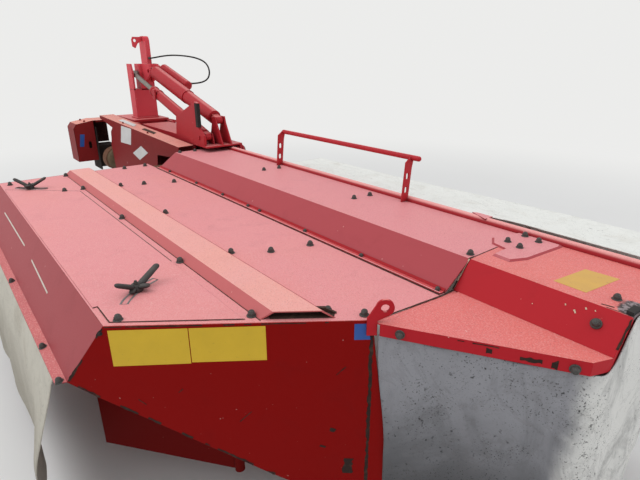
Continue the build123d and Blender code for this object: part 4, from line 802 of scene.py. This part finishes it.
mast = bmesh.new()
mast_loop = [(-0.23, post_foot), (-0.06, post_foot)]
for cx, turn in ((-0.11, 0), (-0.18, pi / 2)):
    mast_loop += [(cx + 0.05 * cos(a), 1.905 + 0.05 * sin(a))
                  for a in (turn + pi / 2 * k / 8 for k in range(9))]
cut_plate(mast, mast_loop, [], at_y(0.041), 0.042)
lug = [(0.02, 1.947), (-0.072, 1.947), (-0.084, 1.921), (-0.08, 1.859), (-0.054, 1.843), (-0.028, 1.887),
       (0.02, 1.913)]
cut_plate(mast, lug, [(-0.054, 1.913, 0, 0.015)], at_x(-0.145), 0.016)
made = piece("mast_plate", mast, red["post"], "headstock")
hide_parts("mast")

case_near, case_far, case_side = -0.755, -0.545, -0.57
case_low, case_inner, case_outer = 0.8, -0.35, -0.112
wall = 0.003
casing = bmesh.new()
case_foot, case_slope = (case_near, case_low), [(-0.725, 1.157), (case_near, 1.12)]
near_side = [case_foot, (case_side, case_low), (case_side, 1.181)] + case_slope
far_side = [case_foot, (case_far, case_low), (case_far, 1.181), (case_side, 1.181)] + case_slope
cut_plate(casing, near_side, [(-0.627, 0.955, 0.02, 0.014)], at_x(case_outer - wall / 2), wall)
cut_plate(casing, far_side, [], at_x(case_inner + wall / 2), wall)
roof = [case_foot, (case_near, 1.12), (-0.725, 1.16), (case_side, 1.185), (case_far, 1.185)]
for near, far in zip(roof, roof[1:]):
    slab(casing, along_x(case_inner, case_outer, near, far), wall, (0, near[1] - far[1], far[0] - near[0]))
bolt(casing, (-0.15, -0.64, 1.1745), Z, 0.8, 1)
bolt(casing, (-0.3, -0.64, 1.1745), Z, 0.8, 2)
made = piece("guard_casing", casing, red["cover"], "headstock")
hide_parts("gearbox_guard")
# Painted shade: dark sheets inside the guard's walls stand for the shade in its hollow
lining = bmesh.new()
block(lining, (case_inner + 0.005, case_near + 0.006, case_low), (case_inner + 0.011, case_far, 1.11))
block(lining, (case_inner + 0.005, case_near + 0.005, case_low),
      (case_outer - 0.006, case_near + 0.012, 1.11))
block(lining, (case_inner + 0.003, -0.548, 0.945), (case_inner + 0.009, -0.385, 1.178))
block(lining, (case_inner + 0.009, -0.542, 1.174), (case_outer, -0.385, 1.178))
piece("guard_lining_shade", lining, dirt_and_shade, "headstock")
roof_part = bmesh.new()
block(roof_part, (case_inner, case_side, 1.1795), (case_outer, -0.381, 1.1835))
block(roof_part, (case_outer - 0.003, -0.545, 1.166), (case_outer, -0.381, 1.1795))
block(roof_part, (case_inner, -0.548, 0.94), (case_inner + 0.003, -0.381, 1.1795))
piece("guard_roof", roof_part, red["cover"], "headstock")

hose_route = [
    (-0.06, 0.041, 1.75), (0.0, 0.041, 1.75), (0.11, 0.11, 1.77), (0.2, 0.172, 1.779), (0.33, 0.226, 1.774),
    (0.47, 0.272, 1.76), (0.6, 0.298, 1.732), (0.676, 0.306, 1.692), (0.7, 0.31, 1.628), (0.668, 0.3, 1.566),
    (0.6, 0.25, 1.532), (0.6, 0.152, 1.532)]
hose_line = bpy.data.curves.new("lift_hose", "CURVE")
hose_line.dimensions, hose_line.bevel_depth, hose_line.bevel_resolution = "3D", 0.007, 3
hose_line.resolution_u, hose_line.use_fill_caps = 8, True
spline = hose_line.splines.new("NURBS")
spline.points.add(len(hose_route) - 1)
for point, place in zip(spline.points, hose_route):
    point.co = (*place, 1)
spline.order_u = 3
spline.use_endpoint_u = True
hose_line.materials.append(rubber)
hose = add_object("lift_hose", hose_line)
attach(hose, "headstock")
fittings = bmesh.new()
for place, out in (((-0.062, 0.041, 1.75), (1, 0, 0)), ((0.6, 0.135, 1.532), (0, 1, 0))):
    turned(fittings, frame_at(place, out), [(0.013, 0), (0.013, 0.012), (0.01, 0.014), (0.01, 0.034)], 6)
ends = piece("hose_fittings", fittings, bolt_steel, "headstock")

# Guard bar: round rail on two plates with oval holes
rail = bmesh.new()
rod(rail, (2.292, 0.012, 1.3), (3.484, 0.012, 1.3), 0.0135, 1, 16)
bracket_outline = [(-0.05, 1.0803), (-0.034, 1.28), (0.002, 1.306), (0.022, 1.3), (0.01, 1.25), (-0.006, 1.0803)]
for x in (2.304, 3.428):
    cut_plate(rail, bracket_outline, [(-0.024, 1.14, 0.007, 0.01), (-0.019, 1.21, 0.007, 0.01)], at_x(x), 0.008)
made = piece("guard_rail", rail, red["tube"])
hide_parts("guard_bar")

# Front tube on the hood's front fold, with the strip that carries it
roll_start, roll_end = 1.43, 4.629
roll_r, roll_y, roll_z = 0.024, 0.008, 1.079
roll = bmesh.new()
rod(roll, (roll_start, roll_y, roll_z), (roll_end, roll_y, roll_z), roll_r, 1, 28)
block(roll, (roll_start, 0.0045, 1.029), (roll_end, 0.0485, 1.06))
# Its paint carries a painted highlight along the tube's top
made = piece("edge_tube", roll, red["roll"], smooth=True)
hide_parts("front_tube")
tab = bmesh.new()
slab(tab, [(3.8, 0.0196, 1.1055), (3.812, 0.046, 1.101), (3.889, 0.046, 1.101), (3.89, -0.016, 1.1035)], 0.004, Z)
piece("tube_tab", tab, red["hood"])

# Drive cover: its inner end torn off in a ragged curve
cover_length = cover_run.length
torn = [(0.2, 0.74), (0.185, 0.89), (0.172, 0.978), (0.196, 1.05), (0.204, 1.106), (0.25, 1.15), (0.07, 1.198),
        (0, 1.212)]
side_outline = [(0, 1.24), (cover_length, 1.11), (cover_length, 1.02), (1.06, 1.004), (1.0, 0.74)] + torn
shell = bmesh.new()
cover_turn = Matrix(((*cover_way, 0), (0, 0, 1, 0), (*cover_out, 0), (0, 0, 0, 1))).transposed()
for depth in (-0.002, -0.133):
    cut_plate(shell, side_outline, [], Matrix.Translation(cover_start + cover_out * depth) @ cover_turn, 0.004)
top_near = [on_cover(a, z) + cover_out * d for a, z, d in (
    (0, 1.2405, 0), (cover_length, 1.1105, 0), (cover_length, 1.1105, -0.135), (0, 1.2405, -0.135))]
slab(shell, top_near, 0.004, cover_up)
block(shell, (0.67, -0.307, 1.047), (0.73, -0.215, 1.097))
for share in (0.3, 0.62):
    bolt(shell, top_near[0].lerp(top_near[1], share) - cover_out * 0.03, Z, 0.7, 3)
made = piece("cover_shell", shell, red["cover"], "arm")
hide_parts("drive_cover")

strip = bmesh.new()
block(strip, (1.447, -0.2185, 1.258), (1.482, -0.2152, 1.436))
block(strip, (1.4815, -0.2185, 1.258), (1.486, -0.1915, 1.436))
piece("stop_rubber", strip, rubber, "arm")

clamp = bmesh.new()
barrel_way = Vector((-1.48, 0, 0.427)).normalized()
clamp_at = Vector((1.48, -0.145, 1.18)) + barrel_way * 0.93
for along, inner, outer, wide in ((0, 0.0435, 0.047, 0.028), (0.1, 0.0432, 0.0455, 0.022)):
    turned(clamp, frame_at(clamp_at + barrel_way * along, barrel_way),
           [(inner, 0), (outer, 0.002), (outer, wide - 0.002), (inner, wide)], 28)
box(clamp, Matrix.Translation(clamp_at + Vector((0.004, -0.05, 0.012))), (0.05, 0.012, 0.085))
piece("barrel_clamp", clamp, red["head"], "lift_barrel")

# Canvases

def waves(x, y, z, scale, seed):
    """Smooth random relief from -1 to 1 at a point."""
    return noise.noise(Vector((x * scale + seed, y * scale - seed, z * scale + 3.1 * seed)))


def cloth(name, columns, rows, shape, material, body, replaced):
    """A sheet: shape gives each point's place from its two shares."""
    mesh = bmesh.new()
    grid = [[mesh.verts.new(shape(i / columns, j / rows)) for j in range(rows + 1)] for i in range(columns + 1)]
    for i in range(columns):
        for j in range(rows):
            mesh.faces.new((grid[i][j], grid[i + 1][j], grid[i + 1][j + 1], grid[i][j + 1]))
    made = piece(name, mesh, material, body, True)
    skin = made.modifiers.new("thickness", "SOLIDIFY")
    skin.thickness, skin.offset = 0.003, 0
    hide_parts(replaced)


def along_line(points, share):
    """Point and left normal at a share of an open line of 2-D points."""
    lengths = [dist(a, b) for a, b in zip(points, points[1:])]
    left = share * sum(lengths)
    for (a, b), length in zip(zip(points, points[1:]), lengths):
        if left <= length or (a, b) == (points[-2], points[-1]):
            t = min(left / length, 1)
            way = Vector((b[0] - a[0], b[1] - a[1])) / length
            return Vector((a[0] + (b[0] - a[0]) * t, a[1] + (b[1] - a[1]) * t)), Vector((-way.y, way.x))
        left -= length


def rounded_line(points, radius, count=6):
    """The same open line with its corners turned into short curves."""
    made = [points[0]]
    for before, corner, after in zip(points, points[1:], points[2:]):
        a, c, b = Vector(before), Vector(corner), Vector(after)
        start = c + (a - c).normalized() * min(radius, (a - c).length * 0.45)
        end = c + (b - c).normalized() * min(radius, (b - c).length * 0.45)
        for k in range(count + 1):
            t = k / count
            made.append(tuple((1 - t) ** 2 * start + 2 * t * (1 - t) * c + t ** 2 * end))
    return made + [points[-1]]


front_line = rounded_line([(0.099, 1.067), (0.25, 1.066), (0.409, 1.061), (0.411, 0.18)], 0.03)


def smooth(value, low, high):
    """0 under low, 1 over high, smooth between."""
    share = min(max((value - low) / (high - low), 0), 1)
    return share * share * (3 - 2 * share)


def front_shape(s, t):
    """Front canvas: s along X, t over the hood and down."""
    x = 2.232 + s * 2.366
    spot, normal = along_line(front_line, t)
    curtain = min(max((t - 0.3) / 0.7, 0), 1)
    fold = 0.014 * curtain * sin(x * 19 + 2.4 * sin(x * 3.3)) * (0.5 + 0.5 * curtain)
    sag = 0.01 * (1 - curtain) * sin(pi * min(t / 0.25, 1)) * (waves(x, 0, t, 4.5, 3) - 0.3)
    wrinkle = 0.006 * waves(x, spot.x, spot.y, 7, 1) + 0.002 * waves(x, spot.x, spot.y, 24, 2)
    push = (fold + wrinkle) * (0.25 + curtain) + sag
    ridge = 0.005 * exp(-((t - 0.245) / 0.012) ** 2)
    bulge = 0.055 * smooth(x, 2.9, 4.1) * smooth(t, 0.02, 0.26) * (1 - 0.5 * smooth(t, 0.5, 1))
    spot = spot + normal * push
    back = 0.045 * smooth(x, 3.65, 4.0) * (1 - smooth(t, 0.02, 0.2))
    return Vector((x, spot.x + bulge + back, max(spot.y + ridge, 0.17)))


cloth("front_cloth", 240, 90, front_shape, top_canvas, "front_guard", "front_canvas")

side_line = rounded_line([(4.073, -0.857), (4.6, -0.545), (4.635, -0.497), (4.636, -0.012)], 0.05, 8)


def side_shape(s, t):
    """Side canvas: s from the rear to the front, t down."""
    spot, normal = along_line(side_line, s)
    top = 0.934 + 0.136 * smooth(s, 0.565, 0.69) + 0.006 * sin(s * 30)
    z = top - t * (top - 0.11)
    hang = t ** 0.8
    lead = exp(-(s / 0.08) ** 2) * 0.04 * smooth(t, 0.05, 0.55)
    fold = 0.022 * hang * sin(s * 13 + 2.2 * t + 1.2 * sin(s * 7 + t * 2)) * (1 if s < 0.5 else 1.4)
    deep = -0.035 * hang * exp(-((s - 0.16 - 0.14 * t) / 0.06) ** 2)
    wrinkle = 0.014 * hang * waves(spot.x, spot.y, z, 4.2, 6) + 0.004 * waves(spot.x, spot.y, z, 15, 8)
    pull = 0.022 * exp(-((s - 0.54) / 0.045) ** 2) * hang
    spot = spot - normal * (fold + wrinkle + pull + deep) * smooth(t, 0.0, 0.12)
    spot = spot + Vector((0.858, 0.514)) * lead
    return Vector((min(max(spot.x, 4.634) if spot.y > -0.48 else spot.x, 4.672), spot.y, z))


cloth("side_cloth", 170, 120, side_shape, side_cloth, "mower", "side_canvas")

rear_line = rounded_line([(-1.688, 0.756), (-1.712, 0.752), (-1.745, 0.62), (-1.775, 0.4), (-1.778, 0.172)], 0.03)


def rear_shape(s, t):
    """Rear canvas: s along X, t down."""
    x = 1.302 + s * 2.076
    spot, normal = along_line(rear_line, t)
    hang = t ** 1.2
    fold = 0.007 * hang * sin(x * 9 + 1.8 * sin(x * 3.1))
    wrinkle = 0.008 * hang * waves(x, spot.x, spot.y, 2.6, 11) + 0.002 * waves(x, spot.x, spot.y, 12, 12)
    flap = 0.05 * smooth(x, 3.05, 3.36) * smooth(t, 0.1, 0.7)
    spot = spot + normal * (fold + wrinkle)
    return Vector((x, spot.x - flap, spot.y))


cloth("rear_cloth", 200, 70, rear_shape, rear_cloth, "mower", "rear_canvas")
